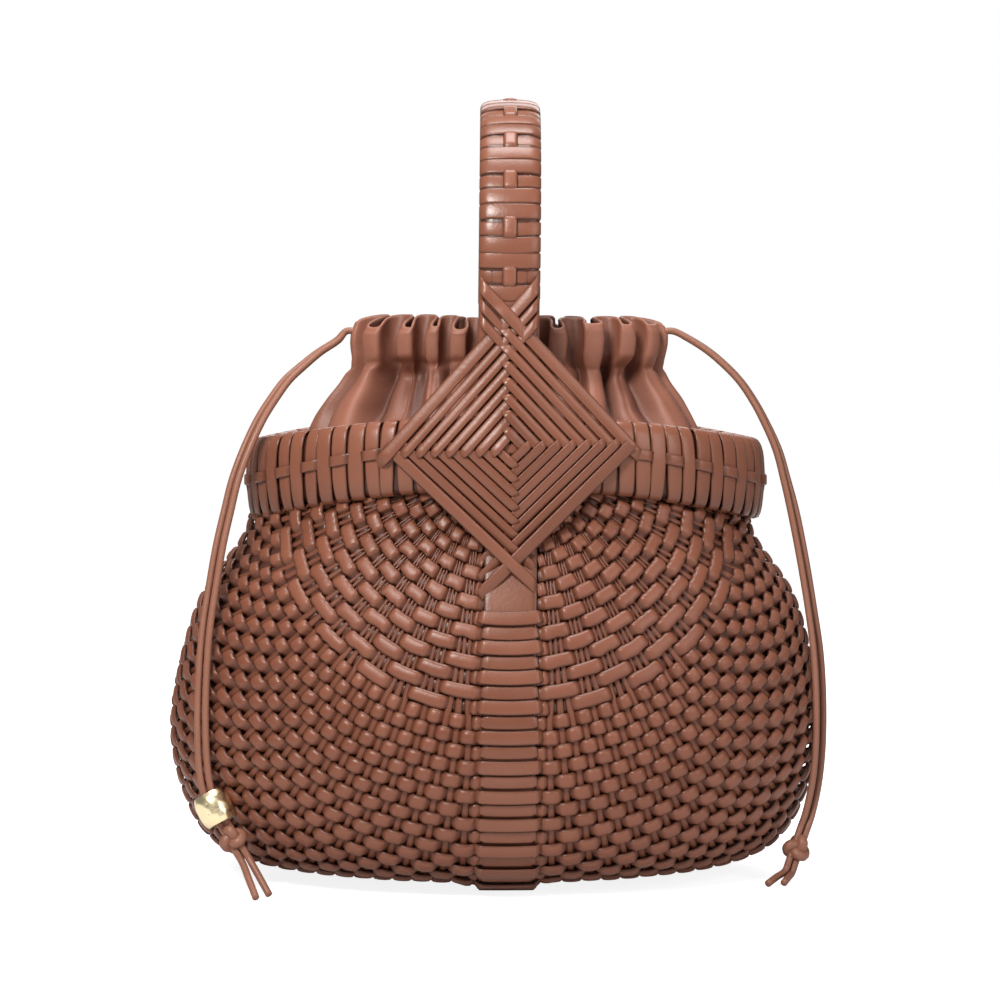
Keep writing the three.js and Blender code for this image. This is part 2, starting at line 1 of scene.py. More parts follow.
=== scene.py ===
import math
import bpy
import numpy as np
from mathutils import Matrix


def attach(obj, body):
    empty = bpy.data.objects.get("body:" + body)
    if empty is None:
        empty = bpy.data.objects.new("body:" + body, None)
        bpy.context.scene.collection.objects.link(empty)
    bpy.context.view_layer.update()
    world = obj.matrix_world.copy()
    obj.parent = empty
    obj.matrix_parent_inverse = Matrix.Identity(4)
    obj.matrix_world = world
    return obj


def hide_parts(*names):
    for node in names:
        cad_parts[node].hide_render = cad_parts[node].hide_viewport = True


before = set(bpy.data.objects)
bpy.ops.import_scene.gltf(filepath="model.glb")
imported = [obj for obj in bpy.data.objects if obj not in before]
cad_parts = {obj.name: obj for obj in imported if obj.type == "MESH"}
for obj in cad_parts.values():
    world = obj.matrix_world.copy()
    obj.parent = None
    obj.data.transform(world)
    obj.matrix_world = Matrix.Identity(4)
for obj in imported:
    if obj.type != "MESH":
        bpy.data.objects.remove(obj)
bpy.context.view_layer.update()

# Sizes are in millimetres, with the foot of the hoop's middle line at zero, as the part has them.
bag = {
    "bellyLeft": 142.5,
    "bellyRight": 136.0,
    "bellyDepth": 88.0,
    "bellyHeight": 66.5,
    "wallTopFront": 166.7,
    "wallTopSide": 156.9,
    "wallBottom": 2.5,
    "lean": 3.9,  # how far it leans right at the top of the handle
    "top": 333.5,
    "clearance": 0.3,
}
rng = np.random.default_rng(7)


def leanAt(z):  # the leaning middle line at height z
    return bag["lean"] * z / bag["top"]


boxShift = (bag["bellyLeft"] - bag["bellyRight"]) / 2 - leanAt(bag["bellyHeight"])


def toWorld(points):  # millimetres on the hoop's line to metres in the part's frame
    return (np.asarray(points, float) + [boxShift, 0, 0]) / 1000


def smooth(low, high, x):  # 0 below low, 1 above high, an S-curve between
    t = np.clip((x - low) / (high - low), 0, 1)
    return t * t * (3 - 2 * t)


def unit(vectors):
    return vectors / np.maximum(np.linalg.norm(vectors, axis=-1, keepdims=True), 1e-9)


def squareTo(tangent, vectors):  # what of the vectors lies square to the tangents
    return unit(vectors - tangent * (vectors * tangent).sum(1)[:, None])


def readTable(table, column, height):  # a smooth curve through the rows of a table
    rows, values = table[:, 0], table[:, column]
    last = len(rows) - 1
    before = np.maximum(np.arange(last + 1) - 1, 0)
    after = np.minimum(np.arange(last + 1) + 1, last)
    slope = (values[after] - values[before]) / (rows[after] - rows[before])
    x = np.clip(height, rows[0], rows[-1])
    i = np.clip(np.searchsorted(rows, x, side="right") - 1, 0, last - 1)
    step = rows[i + 1] - rows[i]
    t = (x - rows[i]) / step
    ends = values[i] * (2 * t**3 - 3 * t**2 + 1) + values[i + 1] * (3 * t**2 - 2 * t**3)
    return ends + step * ((t**3 - 2 * t**2 + t) * slope[i] + (t**3 - t**2) * slope[i + 1])


def walkedAlong(line):  # the way from a line's start to each of its points
    return np.r_[0, np.cumsum(np.linalg.norm(np.diff(line, axis=0), axis=1))]


def valuesAt(places, walked, values):  # values of a line's points, read off at other places
    return np.stack([np.interp(places, walked, values[:, k]) for k in range(3)], -1)


def resample(points, count):  # the same line with its points equally far apart
    walked = walkedAlong(points)
    return valuesAt(np.linspace(0, walked[-1], count), walked, points)


def fullTurn(count):  # angles evenly round a circle
    return np.linspace(0, 2 * np.pi, count, endpoint=False)


def circleProfile(count):
    return np.stack([np.cos(fullTurn(count)), np.sin(fullTurn(count))], 1)


def lengthOf(points):
    return walkedAlong(points)[-1]


def splineThrough(knots, perSpan=24):
    # Catmull-Rom curve: each span is a cubic whose tangents point from the knot before to the
    # one after, over spans measured by the square root of their length.
    knots = np.asarray(knots, float)
    ends = np.vstack([2 * knots[0] - knots[1], knots, 2 * knots[-1] - knots[-2]])
    t = np.linspace(0, 1, perSpan, endpoint=False)[:, None]
    line = []
    for a, b, c, d in zip(ends[:-3], ends[1:-2], ends[2:-1], ends[3:]):
        spans = [max(math.sqrt(np.linalg.norm(q - p)), 1e-6) for p, q in ((a, b), (b, c), (c, d))]
        near = (b - a) / spans[0] - (c - a) / (spans[0] + spans[1]) + (c - b) / spans[1]
        far = (c - b) / spans[1] - (d - b) / (spans[1] + spans[2]) + (d - c) / spans[2]
        near, far = near * spans[1], far * spans[1]
        cubic = 2 * b - 2 * c + near + far
        line.append(b + near * t + (-3 * b + 3 * c - 2 * near - far) * t**2 + cubic * t**3)
    return np.vstack(line + [knots[-1:]])


def sidesOf(line):
    # Two directions square to a line, turning as little as possible on the way along it
    tangent = unit(np.gradient(line, axis=0))
    across = np.empty_like(line)
    across[0] = unit(np.cross(tangent[0], [0.3, 1, 0.2]))
    for k in range(1, len(line)):
        across[k] = unit(across[k - 1] - tangent[k] * across[k - 1].dot(tangent[k]))
    return tangent, across, np.cross(tangent, across)


def withoutEdge(part):  # a round or hidden strip isn't shaded at its sides
    part[2][:, 0] = 0
    return part


def volumeOf(points, faces):  # six times the volume inside, negative when it faces inwards
    a, b, c, d = (points[faces[:, k]] for k in range(4))
    return (a * np.cross(b, c)).sum() + (a * np.cross(c, d)).sum()


# Rings of points as a closed surface: quads between neighbouring rings, and a cap over the first
# and the last, unless they are joined. Its marks are edge, tone and depth; edge and depth are painted
# shade.
def loft(rings, joined=False, edge=0.0, tone=0.5, depth=0.0):
    count, around = rings.shape[:2]
    i, j = np.meshgrid(np.arange(count if joined else count - 1), np.arange(around), indexing="ij")
    a, b = i * around + j, i * around + (j + 1) % around
    c, d = (i + 1) % count * around + (j + 1) % around, (i + 1) % count * around + j
    faces = np.stack([a, b, c, d], -1).reshape(-1, 4)
    if not joined:
        k = np.arange(around // 2 - 1)
        cap = np.stack([k, around - 1 - k, around - 2 - k, k + 1], 1)
        faces = np.vstack([faces, cap, cap[:, ::-1] + (count - 1) * around])
    marks = np.stack(np.broadcast_arrays(edge, tone, depth, np.zeros((count, around)))[:3], -1)
    points = rings.reshape(-1, 3)
    if volumeOf(points, faces) < 0:
        faces = faces[:, ::-1]
    return points, faces, marks.reshape(-1, 3)


# One strip of leather: a profile of (across, up) carried along a line. across is a share of the
# side vector, up a share of the out vector, each given once or for every point of the line.
def carry(line, side, out, profile, joined=False, depth=0.0, tone=0.5):
    side, out = (np.broadcast_to(vector, line.shape)[:, None] for vector in (side, out))
    rings = line[:, None] + profile[:, 0, None] * side + profile[:, 1, None] * out
    depth = np.broadcast_to(depth, len(line))[:, None]
    # the edge mark, painted shade, grows towards the profile's sides
    return loft(rings, joined, np.abs(profile[:, 0]) ** 2, tone, depth)


def joinParts(parts):
    parts = [part for part in parts if part]
    starts = np.cumsum([0] + [len(points) for points, _, _ in parts[:-1]])
    faces = np.vstack([part[1] + start for part, start in zip(parts, starts)])
    return np.vstack([part[0] for part in parts]), faces, np.vstack([part[2] for part in parts])


def addObject(name, data):
    thing = bpy.data.objects.new(name, data)
    bpy.context.scene.collection.objects.link(thing)
    return thing


def makePiece(name, part, look, *replaced):  # look is a material and a slot name; the slot name is not used
    points, faces, marks = part
    material, slotName = look
    if volumeOf(points, faces) < 0:
        faces = faces[:, ::-1]
    mesh = bpy.data.meshes.new(name)
    mesh.vertices.add(len(points))
    mesh.vertices.foreach_set("co", toWorld(points).ravel())
    mesh.loops.add(faces.size)
    mesh.loops.foreach_set("vertex_index", faces.ravel())
    mesh.polygons.add(len(faces))
    mesh.polygons.foreach_set("loop_start", np.arange(0, faces.size, 4))
    mesh.update(calc_edges=True)
    mesh.shade_smooth()
    colours = mesh.attributes.new("marks", "FLOAT_COLOR", "POINT")
    colours.data.foreach_set("color", np.c_[marks, np.ones(len(marks))].ravel())
    mesh.materials.append(material)
    piece = addObject(name, mesh)
    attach(piece, "root")
    if replaced:
        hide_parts(*replaced)
    print(name, len(faces) * 2, "triangles")
    return piece


# Node helpers for the materials
def socketOf(group, name, kind, direction, value=None):
    socket = group.interface.new_socket(name=name, in_out=direction, socket_type=kind)
    if value is not None:
        socket.default_value = value


def setInputs(tree, node, values):  # a value is a number, a colour or another node's output
    for key, value in values.items():
        if isinstance(value, bpy.types.NodeSocket):
            tree.links.new(value, node.inputs[key])
        else:
            node.inputs[key].default_value = value


def addNode(tree, kind, values=None, **settings):
    node = tree.nodes.new(kind)
    for name, value in settings.items():
        setattr(node, name, value)
    setInputs(tree, node, values or {})
    return node


def mixColours(tree, factor, first, second):
    values = {0: factor, 6: first, 7: second}
    return addNode(tree, "ShaderNodeMix", values, data_type="RGBA").outputs[2]


def scaled(tree, source, toLow, toHigh, low=0.0, high=1.0):
    values = {"Value": source, "From Min": low, "From Max": high, "To Min": toLow, "To Max": toHigh}
    return addNode(tree, "ShaderNodeMapRange", values).outputs["Result"]


def cameraSees(tree, otherwise, seen):  # one value for what the camera sees, another for its light
    return scaled(tree, addNode(tree, "ShaderNodeLightPath").outputs["Is Camera Ray"], otherwise, seen)


def newMaterial(name):
    material = bpy.data.materials.new(name)
    material.use_nodes = True
    tree = material.node_tree
    return material, tree, tree.nodes["Principled BSDF"]


def addRelief(tree, shader, height, strength, distance):
    values = {"Strength": strength, "Distance": distance, "Height": height}
    setInputs(tree, shader, {"Normal": addNode(tree, "ShaderNodeBump", values).outputs["Normal"]})


# Camera, floor and lights
view = {
    "camera": (-10, -1200, 225),
    "aim": (-0.4, 0, 161.5),
    "lens": 99.9,
    "floorGrey": 0.7,
    "worldLight": 0.2,
    "floorGlow": 0.86,
}


def pointAt(thing, place, target):
    thing.location = toWorld(place)
    direction = thing.location - type(thing.location)(toWorld(target))
    thing.rotation_euler = direction.to_track_quat("Z", "Y").to_euler()


def makeCamera():
    data = bpy.data.cameras.new("camera")
    data.lens = view["lens"]
    data.sensor_width = 36
    data.clip_start, data.clip_end = 0.05, 30
    camera = addObject("camera", data)
    pointAt(camera, view["camera"], view["aim"])
    bpy.context.scene.camera = camera


# name, place, aim, width and height in mm, power in watts, colour
lamps = [
    ("keyLamp", (-330, -820, 760), (0, 0, 150), 300, 300, 11.0, (1.0, 0.97, 0.94)),
    ("fillLamp", (800, -800, 500), (0, 0, 130), 600, 600, 3.6, (0.97, 0.98, 1.0)),
    ("topLamp", (0, -80, 1000), (0, 0, 150), 500, 300, 6.5, (1.0, 1.0, 1.0)),
    ("backLamp", (100, 900, 800), (0, 0, 150), 900, 500, 3.5, (1.0, 1.0, 1.0)),
]


def makeLamps():
    for name, place, target, width, height, power, colour in lamps:
        data = bpy.data.lights.new(name, "AREA")
        data.shape = "RECTANGLE"
        data.size, data.size_y = width / 1000, height / 1000
        data.energy = power
        data.color = colour
        pointAt(addObject(name, data), place, target)
    world = bpy.data.worlds.new("studio")
    world.use_nodes = True
    tree = world.node_tree
    strength = cameraSees(tree, view["worldLight"], 1.0)
    setInputs(tree, tree.nodes["Background"], {"Color": (1, 1, 1, 1), "Strength": strength})
    bpy.context.scene.world = world
    bpy.context.scene.view_settings.view_transform = "Standard"


def makeFloor():
    size = 6.0
    mesh = bpy.data.meshes.new("floor")
    corners = [(-size, -size, 0), (size, -size, 0), (size, size, 0), (-size, size, 0)]
    mesh.from_pydata(corners, [], [(0, 1, 2, 3)])
    floor = addObject("floor", mesh)
    material, tree, shader = newMaterial("paleFloor")
    grey = view["floorGrey"]
    setInputs(tree, shader, {
        "Base Color": (grey, grey, grey, 1), "Roughness": 0.9, "Specular IOR Level": 0.1,
        "Emission Color": (1, 1, 1, 1), "Emission Strength": cameraSees(tree, 0, view["floorGlow"]),
    })
    mesh.materials.append(material)


makeCamera()
makeLamps()
makeFloor()
print("camera, lamps and floor")


# Leather: fine pores and soft creases as a height, cloudy tones as a mask
def leatherGroup():
    group = bpy.data.node_groups.new("leatherGrain", "ShaderNodeTree")
    socketOf(group, "Vector", "NodeSocketVector", "INPUT")
    for name, scale in (("Pore Scale", 900.0), ("Crease Scale", 160.0), ("Cloud Scale", 30.0)):
        socketOf(group, name, "NodeSocketFloat", "INPUT", scale)
    socketOf(group, "Height", "NodeSocketFloat", "OUTPUT")
    socketOf(group, "Clouds", "NodeSocketFloat", "OUTPUT")
    start = group.nodes.new("NodeGroupInput").outputs
    place = start["Vector"]
    pores = addNode(group, "ShaderNodeTexVoronoi", {
        "Vector": place, "Scale": start["Pore Scale"], "Randomness": 1.0}, feature="SMOOTH_F1")
    creases = addNode(group, "ShaderNodeTexNoise", {
        "Vector": place, "Scale": start["Crease Scale"], "Detail": 4.0, "Roughness": 0.55})
    clouds = addNode(group, "ShaderNodeTexNoise", {
        "Vector": place, "Scale": start["Cloud Scale"], "Detail": 3.0, "Roughness": 0.6})
    height = addNode(group, "ShaderNodeMath", {
        0: pores.outputs["Distance"], 1: 0.35, 2: creases.outputs["Fac"]}, operation="MULTIPLY_ADD")
    addNode(group, "NodeGroupOutput", {"Height": height.outputs[0], "Clouds": clouds.outputs["Fac"]})
    return group


leatherGrain = leatherGroup()


# Leather in its own darker and lighter tones, base and light, mixed at random; the third colour is
# painted shade, laid over a strip's sides and where it dives under others
def leatherMaterial(name, base, light, paintedShade, roughness, bump, edgeShade=0.35):
    material, tree, shader = newMaterial(name)
    place = addNode(tree, "ShaderNodeTexCoord")
    grain = addNode(tree, "ShaderNodeGroup", node_tree=leatherGrain)
    tree.links.new(place.outputs["Object"], grain.inputs["Vector"])
    marks = addNode(tree, "ShaderNodeAttribute", attribute_name="marks")
    parts = addNode(tree, "ShaderNodeSeparateColor", {0: marks.outputs["Color"]})
    edge, tone, depth = parts.outputs
    clouds = grain.outputs["Clouds"]
    toned = mixColours(tree, scaled(tree, tone, 0, 0.55), (*base, 1), (*light, 1))
    mottled = mixColours(tree, scaled(tree, clouds, 0, 0.3, 0.35, 0.68), toned, (*light, 1))
    # painted shade towards the sides of a strip, by the edge mark
    edged = mixColours(tree, scaled(tree, edge, 0, edgeShade, 0.45), mottled, (*paintedShade, 1))
    # painted shade where a strip dives under others or lies hidden, by the depth mark
    coloured = mixColours(tree, scaled(tree, depth, 0, 0.85), edged, (*paintedShade, 1))
    rough = scaled(tree, clouds, roughness - 0.06, roughness + 0.08, 0.3, 0.7)
    setInputs(tree, shader, {
        "Base Color": coloured, "Roughness": rough, "Specular IOR Level": 0.38,
    })
    addRelief(tree, shader, grain.outputs["Height"], bump, 0.0004)
    return material


# each leather's last colour is its painted shade, near black, for between and under the strips
wovenLeather = leatherMaterial(
    "wovenLeather", (0.158, 0.051, 0.027), (0.25, 0.089, 0.05), (0.02, 0.005, 0.003), 0.38, 0.3, 0.6
), "woven_leather"
plainLeather = leatherMaterial(
    "plainLeather", (0.16, 0.055, 0.03), (0.27, 0.1, 0.058), (0.02, 0.005, 0.003), 0.31, 0.25, 0.6
), "woven_leather"
pouchLeather = leatherMaterial(
    "pouchLeather", (0.235, 0.088, 0.054), (0.325, 0.13, 0.083), (0.03, 0.009, 0.007), 0.48, 0.35, 0.0
), "pouch_leather"
cordLeather = leatherMaterial(
    "cordLeather", (0.21, 0.085, 0.052), (0.29, 0.125, 0.08), (0.05, 0.018, 0.01), 0.45, 0.5, 0.0
), "cord_leather"


def goldMaterial():
    material, tree, shader = newMaterial("goldMetal")
    place = addNode(tree, "ShaderNodeTexCoord")
    dents = addNode(tree, "ShaderNodeTexVoronoi", {
        "Vector": place.outputs["Object"], "Scale": 420.0}, feature="SMOOTH_F1").outputs["Distance"]
    tone = mixColours(tree, dents, (1.0, 0.86, 0.56, 1), (0.93, 0.77, 0.47, 1))
    rough = scaled(tree, dents, 0.24, 0.36)
    setInputs(tree, shader, {"Metallic": 1.0, "Base Color": tone, "Roughness": rough})
    addRelief(tree, shader, dents, 0.45, 0.0008)
    return material


goldMetal = goldMaterial(), "gold_metal"
print("materials")

# The pouch above the rim, as rows of height, width, depth and fold
mouth = {
    "halfWidth": 62.8,
    "halfDepth": 26.5,
    "top": 240.5,
    "shift": 1.3,
    "taper": 0.2,
    "foldDepth": 6.5,
}
pouchSections = np.array([
    [0.8, 1.29, 1.75, 0.3], [0.852, 1.17, 1.4, 0.7], [0.887, 1.065, 1.1, 0.9],
    [0.918, 1.01, 1.0, 0.85], [0.96, 1.01, 1.0, 1.0], [1.0, 0.985, 1.0, 1.0],
])


def mouthX(z):
    rise = np.maximum(0, (z / mouth["top"] - 1 + mouth["taper"]) / mouth["taper"])
    return leanAt(z) + mouth["shift"] * rise


# Drawcords: x, y, z of each pair's middle, and half the way between its strands in x and y
cord = {"radius": 1.5, "sides": 14, "lead": 4.0, "step": 1.2, "knotLength": 12.6, "knotRadius": 6.3}
leftRoute = np.array([
    [-62, 0, 234.5, 0, 1.7], [-70.2, -2, 230.7, -0.4, 1.65], [-78.2, -6, 225.3, -0.7, 1.55],
    [-85.6, -11, 219, -1, 1.4], [-91.3, -16, 213.5, -1.15, 1.25], [-97.2, -22, 205, -1.25, 1.15],
    [-102, -27, 196.8, -1.3, 1.1], [-107.6, -31, 184.3, -1.35, 1.05], [-112, -34, 171.8, -1.4, 1],
    [-115, -36, 159.2, -1.45, 0.95], [-118.2, -38.5, 144.7, -1.5, 0.9],
    [-121.3, -41, 126, -1.55, 0.8], [-123.6, -43.5, 109.4, -1.6, 0.7],
    [-125, -46, 88.7, -1.65, 0.6], [-125.3, -48, 70, -1.7, 0.5], [-124.6, -50, 55, -1.75, 0.4],
    [-123, -51.5, 44.2, -1.8, 0.2], [-119.6, -53, 36, -1.85, 0.1], [-112, -55.5, 23.8, -1.9, 0.1],
])
rightRoute = np.array([
    [68, 0, 234.5, 0, 1.7], [81, -1, 231.3, 0.3, 1.65], [88.4, -2.5, 226.6, 0.4, 1.65],
    [94.6, -4, 221.5, 0.45, 1.65], [102.4, -6, 213.5, 0.45, 1.65], [108.2, -8, 205, 0.5, 1.65],
    [112.8, -10, 196.4, 0.6, 1.6], [118.5, -11.5, 183.5, 0.8, 1.55],
    [122, -12.5, 170.7, 1, 1.5], [125.1, -13.5, 158, 1.3, 1.6], [129.3, -15, 136.5, 1.4, 1.9],
    [132.8, -16.5, 115, 1.5, 2.6], [135.2, -18, 97, 1.8, 3.6], [136.2, -20, 76.8, 2, 4.5],
    [135.8, -22, 56.5, 2, 4.3], [134, -24, 41, 1.9, 3.2], [130.8, -26.5, 28, 1.7, 1.4],
    [125.8, -29, 14.6, 1.65, 0.7],
])
leftTips = {"a": (1, (-101, -72, 2)), "b": (-1, (-96, -66, 2))}
rightTips = {"a": (1, (119, -41, 2)), "b": (-1, (112, -43, 2))}


# A round cord: a circle carried along the line, with a shallow groove where its edges meet
def cordTube(line):
    _, across, up = sidesOf(line)
    profile = circleProfile(cord["sides"])
    profile[0] *= 0.82
    part = withoutEdge(carry(line, across * cord["radius"], up * cord["radius"], profile))
    # painted shade along the groove
    part[2][:, 2] = np.tile(np.r_[0.7, np.zeros(cord["sides"] - 1)], len(line))
    return part


# A knot: a three-lobed loop pulled tight, drawn as a thick cord, stretched along the fall
def knotPart(centre, fall, thick=2.3):
    t = fullTurn(72)
    across = unit(np.cross(fall, [0.2, 1, 0.1]))
    third = np.cross(fall, across)
    x = np.sin(t) + 2 * np.sin(2 * t)
    y = np.cos(t) - 2 * np.cos(2 * t)
    z = -np.sin(3 * t)
    reach = (cord["knotRadius"] - thick) / 2.9
    rise = (cord["knotLength"] / 2 - thick) / 3.0
    line = centre + np.outer(x * reach, across) + np.outer(y * rise, fall) + np.outer(z * 1.9, third)
    tangent = unit(np.roll(line, -1, 0) - np.roll(line, 1, 0))
    outward = squareTo(tangent, unit(line - centre))
    side = np.cross(tangent, outward)
    loop = carry(line, side * thick, outward * thick, circleProfile(10), joined=True)
    core = splineThrough(centre + np.outer([-4.6, 0, 4.6], fall), 4)
    _, a, b = sidesOf(core)
    # the knot's hidden heart is painted in shade
    heart = carry(core, a * 2.6, b * 2.6, circleProfile(10), depth=0.5)
    return withoutEdge(joinParts([loop, heart]))


def makeDrawcords(name, route, tips):
    places, apart = route[:, :3].copy(), np.c_[route[:, 3:], np.zeros(len(route))]
    exitAt = places[0].copy()
    height = exitAt[2] / mouth["top"]
    width = mouth["halfWidth"] * readTable(pouchSections, 1, height)
    fold = mouth["foldDepth"] * readTable(pouchSections, 3, height)
    side = np.sign(exitAt[0])
    exitAt[0] = mouthX(exitAt[2]) + side * (width + fold / 2 + bag["clearance"])
    knotAt = places[-1]
    fall = unit(knotAt - places[-2])
    stop = cord["knotLength"] / 2 + bag["clearance"]
    across = apart[-1] - fall * apart[-1].dot(fall)
    middle = np.vstack([
        exitAt, exitAt + [side * cord["lead"], 0, 0], places[1:-1],
        knotAt - fall * (stop + cord["lead"]), knotAt - fall * stop,
    ])
    halfway = np.vstack([apart[0], apart[0], apart[1:-1], across, across])
    knot = makePiece(name + "Knot", knotPart(knotAt, fall), cordLeather, "knot_" + name)
    for letter, (turn, tip) in tips.items():
        start = knotAt + fall * stop + across * turn
        below = start + fall * cord["lead"]
        tail = splineThrough([start, below, (below + tip) / 2, tip])
        line = np.vstack([splineThrough(middle + turn * halfway), tail])
        line = resample(line, int(lengthOf(line) / cord["step"]))
        strand = makePiece(f"{name}Cord{letter.upper()}", cordTube(line), cordLeather,
                           f"drawcord_{name}_{letter}", f"cord_end_{name}_{letter}")


# The bead: a barrel's outline turned about the cord, with a hole through it
beadSize = {"radius": 7.4, "length": 13.5, "hole": 4.25, "around": 48}


def makeBead():
    along = unit(leftRoute[-1, :3] - leftRoute[-3, :3])
    across = unit(np.cross(along, [0, 1, 0]))
    third = np.cross(along, across)
    half, radius = beadSize["length"] / 2, beadSize["radius"]
    turn = np.linspace(0.5 * np.pi, -0.5 * np.pi, 22)
    outer = np.stack([np.sin(turn) * half, radius - 1.5 * np.abs(np.sin(turn)) ** 3], 1)
    inner = np.array([[-half, beadSize["hole"]], [0, beadSize["hole"] - 0.2], [half, beadSize["hole"]]])
    outline = np.vstack([outer, inner])
    circle = circleProfile(beadSize["around"])
    outward = circle[:, :1] * across + circle[:, 1:] * third
    points = leftRoute[-2, :3] + outline[None, :, :1] * along + outline[None, :, 1:] * outward[:, None]
    count, rows = beadSize["around"], len(outline)
    i, j = np.meshgrid(np.arange(count), np.arange(rows), indexing="ij")
    here, beside = i * rows, (i + 1) % count * rows
    above = (j + 1) % rows
    faces = np.stack([here + j, beside + j, beside + above, here + above], -1)
    part = (points.reshape(-1, 3), faces.reshape(-1, 4), np.zeros((count * rows, 3)))
    return makePiece("goldBead", part, goldMetal, "bead")


bead = makeBead()
makeDrawcords("left", leftRoute, leftTips)
makeDrawcords("right", rightRoute, rightTips)
print("cords, knots and bead")

# The basket's outline as rows of height, width and depth
basketSections = np.array([
    [0.0, 0.42, 0.4], [0.012, 0.66, 0.62], [0.045, 0.81, 0.77], [0.11, 0.905, 0.88],
    [0.2, 0.96, 0.95], [0.3, 0.992, 0.992], [0.39, 1, 1], [0.49, 0.988, 0.985],
    [0.6, 0.96, 0.95], [0.72, 0.915, 0.895], [0.82, 0.855, 0.83], [0.89, 0.8, 0.77],
    [0.945, 0.775, 0.725], [1, 0.77, 0.712],
])
rim = {
    "halfWidth": 106.0,
    "halfDepth": 62.5,
    "height": 31.5,
    "out": 5.0,
    "inside": 4.5,
    "thick": 0.95,
    "lacing": 2.3,  # half the height of the strip laced over and under the wraps
    "wraps": 78,
    "frontLess": 0.05,  # in front and at the back the wraps are this share shorter
    "frontRaised": 1.9,
    "laceLow": -2.6,  # the laced strip's height at the sides, and how much it rises to the front
    "laceRise": 7.5,
}
wallHeight = bag["wallTopFront"] - bag["wallBottom"]
diamondZ = bag["wallTopFront"] + bag["clearance"] + rim["height"] / 2
diamondShift = 1.8


def wallTop(angle):
    return bag["wallTopSide"] + (bag["wallTopFront"] - bag["wallTopSide"]) * np.sin(angle) ** 2


# Points of the wall along rays from the line through both diamonds, found by halving: round
# turns about that line, along goes from the front diamond to the back one.
def wallPoints(around, along):
    around, along = np.broadcast_arrays(around, along)
    level = np.sin(along)
    ray = np.stack([level * np.sin(around), -np.cos(along), -level * np.cos(around)], -1)
    middle = np.array([diamondShift, 0, diamondZ])
    near = np.zeros(around.shape)
    far = near + 2 * bag["bellyLeft"]
    for _ in range(26):
        reach = (near + far) / 2
        p = middle + ray * reach[..., None]
        height = (p[..., 2] - bag["wallBottom"]) / wallHeight
        wide = np.where(p[..., 0] < 0, bag["bellyLeft"], bag["bellyRight"])
        x = p[..., 0] / (wide * readTable(basketSections, 1, height))
        y = p[..., 1] / (bag["bellyDepth"] * readTable(basketSections, 2, height))
        within = (p[..., 2] > bag["wallBottom"]) & (x * x + y * y < 1)
        near, far = np.where(within, reach, near), np.where(within, far, reach)
    p = middle + ray * near[..., None]
    p[..., 0] += leanAt(p[..., 2])
    return p


wallRounds = np.radians(np.linspace(-92, 92, 369))
wallShares = np.linspace(0, 1, 361)


# The wall's points, outward directions and directions along the ribs, at even shares of each
# rib's own length
def mapWall():
    points = wallPoints(wallRounds[:, None], np.linspace(0, np.pi, 721)[None])
    ways = [walkedAlong(line) for line in points]
    even = np.stack([valuesAt(wallShares * way[-1], way, line) for way, line in zip(ways, points)])
    alongRib = unit(np.gradient(even, axis=1))
    across = np.gradient(even, axis=0)
    outward = unit(np.cross(across, alongRib))
    outward[:, :2], outward[:, -2:] = (0, -1, 0), (0, 1, 0)
    heading = even - [0, 0, 100]
    outward *= np.sign((outward * heading).sum(-1, keepdims=True))
    return even, outward, alongRib, np.array([way[-1] for way in ways])


wallMap, wallOut, wallAlong, ribLengths = mapWall()


def wallAt(around, share, grids=(wallMap, wallOut, wallAlong)):
    a = (around - wallRounds[0]) / (wallRounds[1] - wallRounds[0])
    b = share * (len(wallShares) - 1)
    a, b = np.clip(a, 0, len(wallRounds) - 1.001), np.clip(b, 0, len(wallShares) - 1.001)
    i, j = a.astype(int), b.astype(int)
    u, v = (a - i)[..., None], (b - j)[..., None]
    blends = []
    for grid in grids:
        before = grid[i, j] * (1 - u) + grid[i + 1, j] * u
        after = grid[i, j + 1] * (1 - u) + grid[i + 1, j + 1] * u
        blends.append(before * (1 - v) + after * v)
    return blends


# Weave
weave = {
    "rows": 84,
    "pitch": 6.06,
    "shown": (5, 79),  # the rows that the diamonds don't hide
    "ribs": 33,  # on each side of the keel
    "ribTurn": math.radians(2.2),
    "ribStretch": math.radians(5.0),  # the ribs near the keel stand this much further apart
    "fanEnd": math.radians(80),
    "keelHalf": 13.2,
    "inner": 17,  # rows near a diamond that go over three thin ribs at a time
    "stripShare": 1.02,
    "stripThick": 1.35,
    "wave": 1.3,
    "sunk": 1.45,
    "overShare": 0.42,  # how much longer a strip stays over than under
    "ribHalf": 1.6,
    "ribThick": 1.0,
    "perRib": 5,
    "neckHeight": 143,
    "neckDepth": 3.0,
    "floorClear": 2.4,
}
keelRadius = np.linalg.norm(
    wallMap[len(wallRounds) // 2][:, [0, 2]] - [diamondShift, diamondZ], axis=1
)


# How much of each row is there at each rib angle: the rows keep their pitch, so the shorter ribs
# at the sides lose those halfway between the diamonds. The running sum of what is left gives
# where each row crosses each rib.
def rowPlaces():
    fromEnd = np.minimum(np.arange(weave["rows"]), np.arange(weave["rows"])[::-1])
    room = ribLengths / weave["pitch"] / 2
    shown = np.clip((room[None] - fromEnd[:, None]) * 0.7 + 0.3, 0, 1)
    total = shown.sum(0)
    return shown, (np.cumsum(shown, 0) - shown / 2) / total, ribLengths / total


rowShown, rowShare, rowPitch = rowPlaces()


def ribAngle(count, share):  # count ribs out from the keel's edge, seen from the diamond
    radius = np.interp(share, wallShares, keelRadius)
    edge = np.arctan2(weave["keelHalf"], np.maximum(radius, 20))
    stretch = 1 - np.exp(-np.maximum(count, -1) / 6)
    base = (count - 0.5) * weave["ribTurn"] + weave["ribStretch"] * stretch
    return base + edge * (1 - base / weave["fanEnd"])


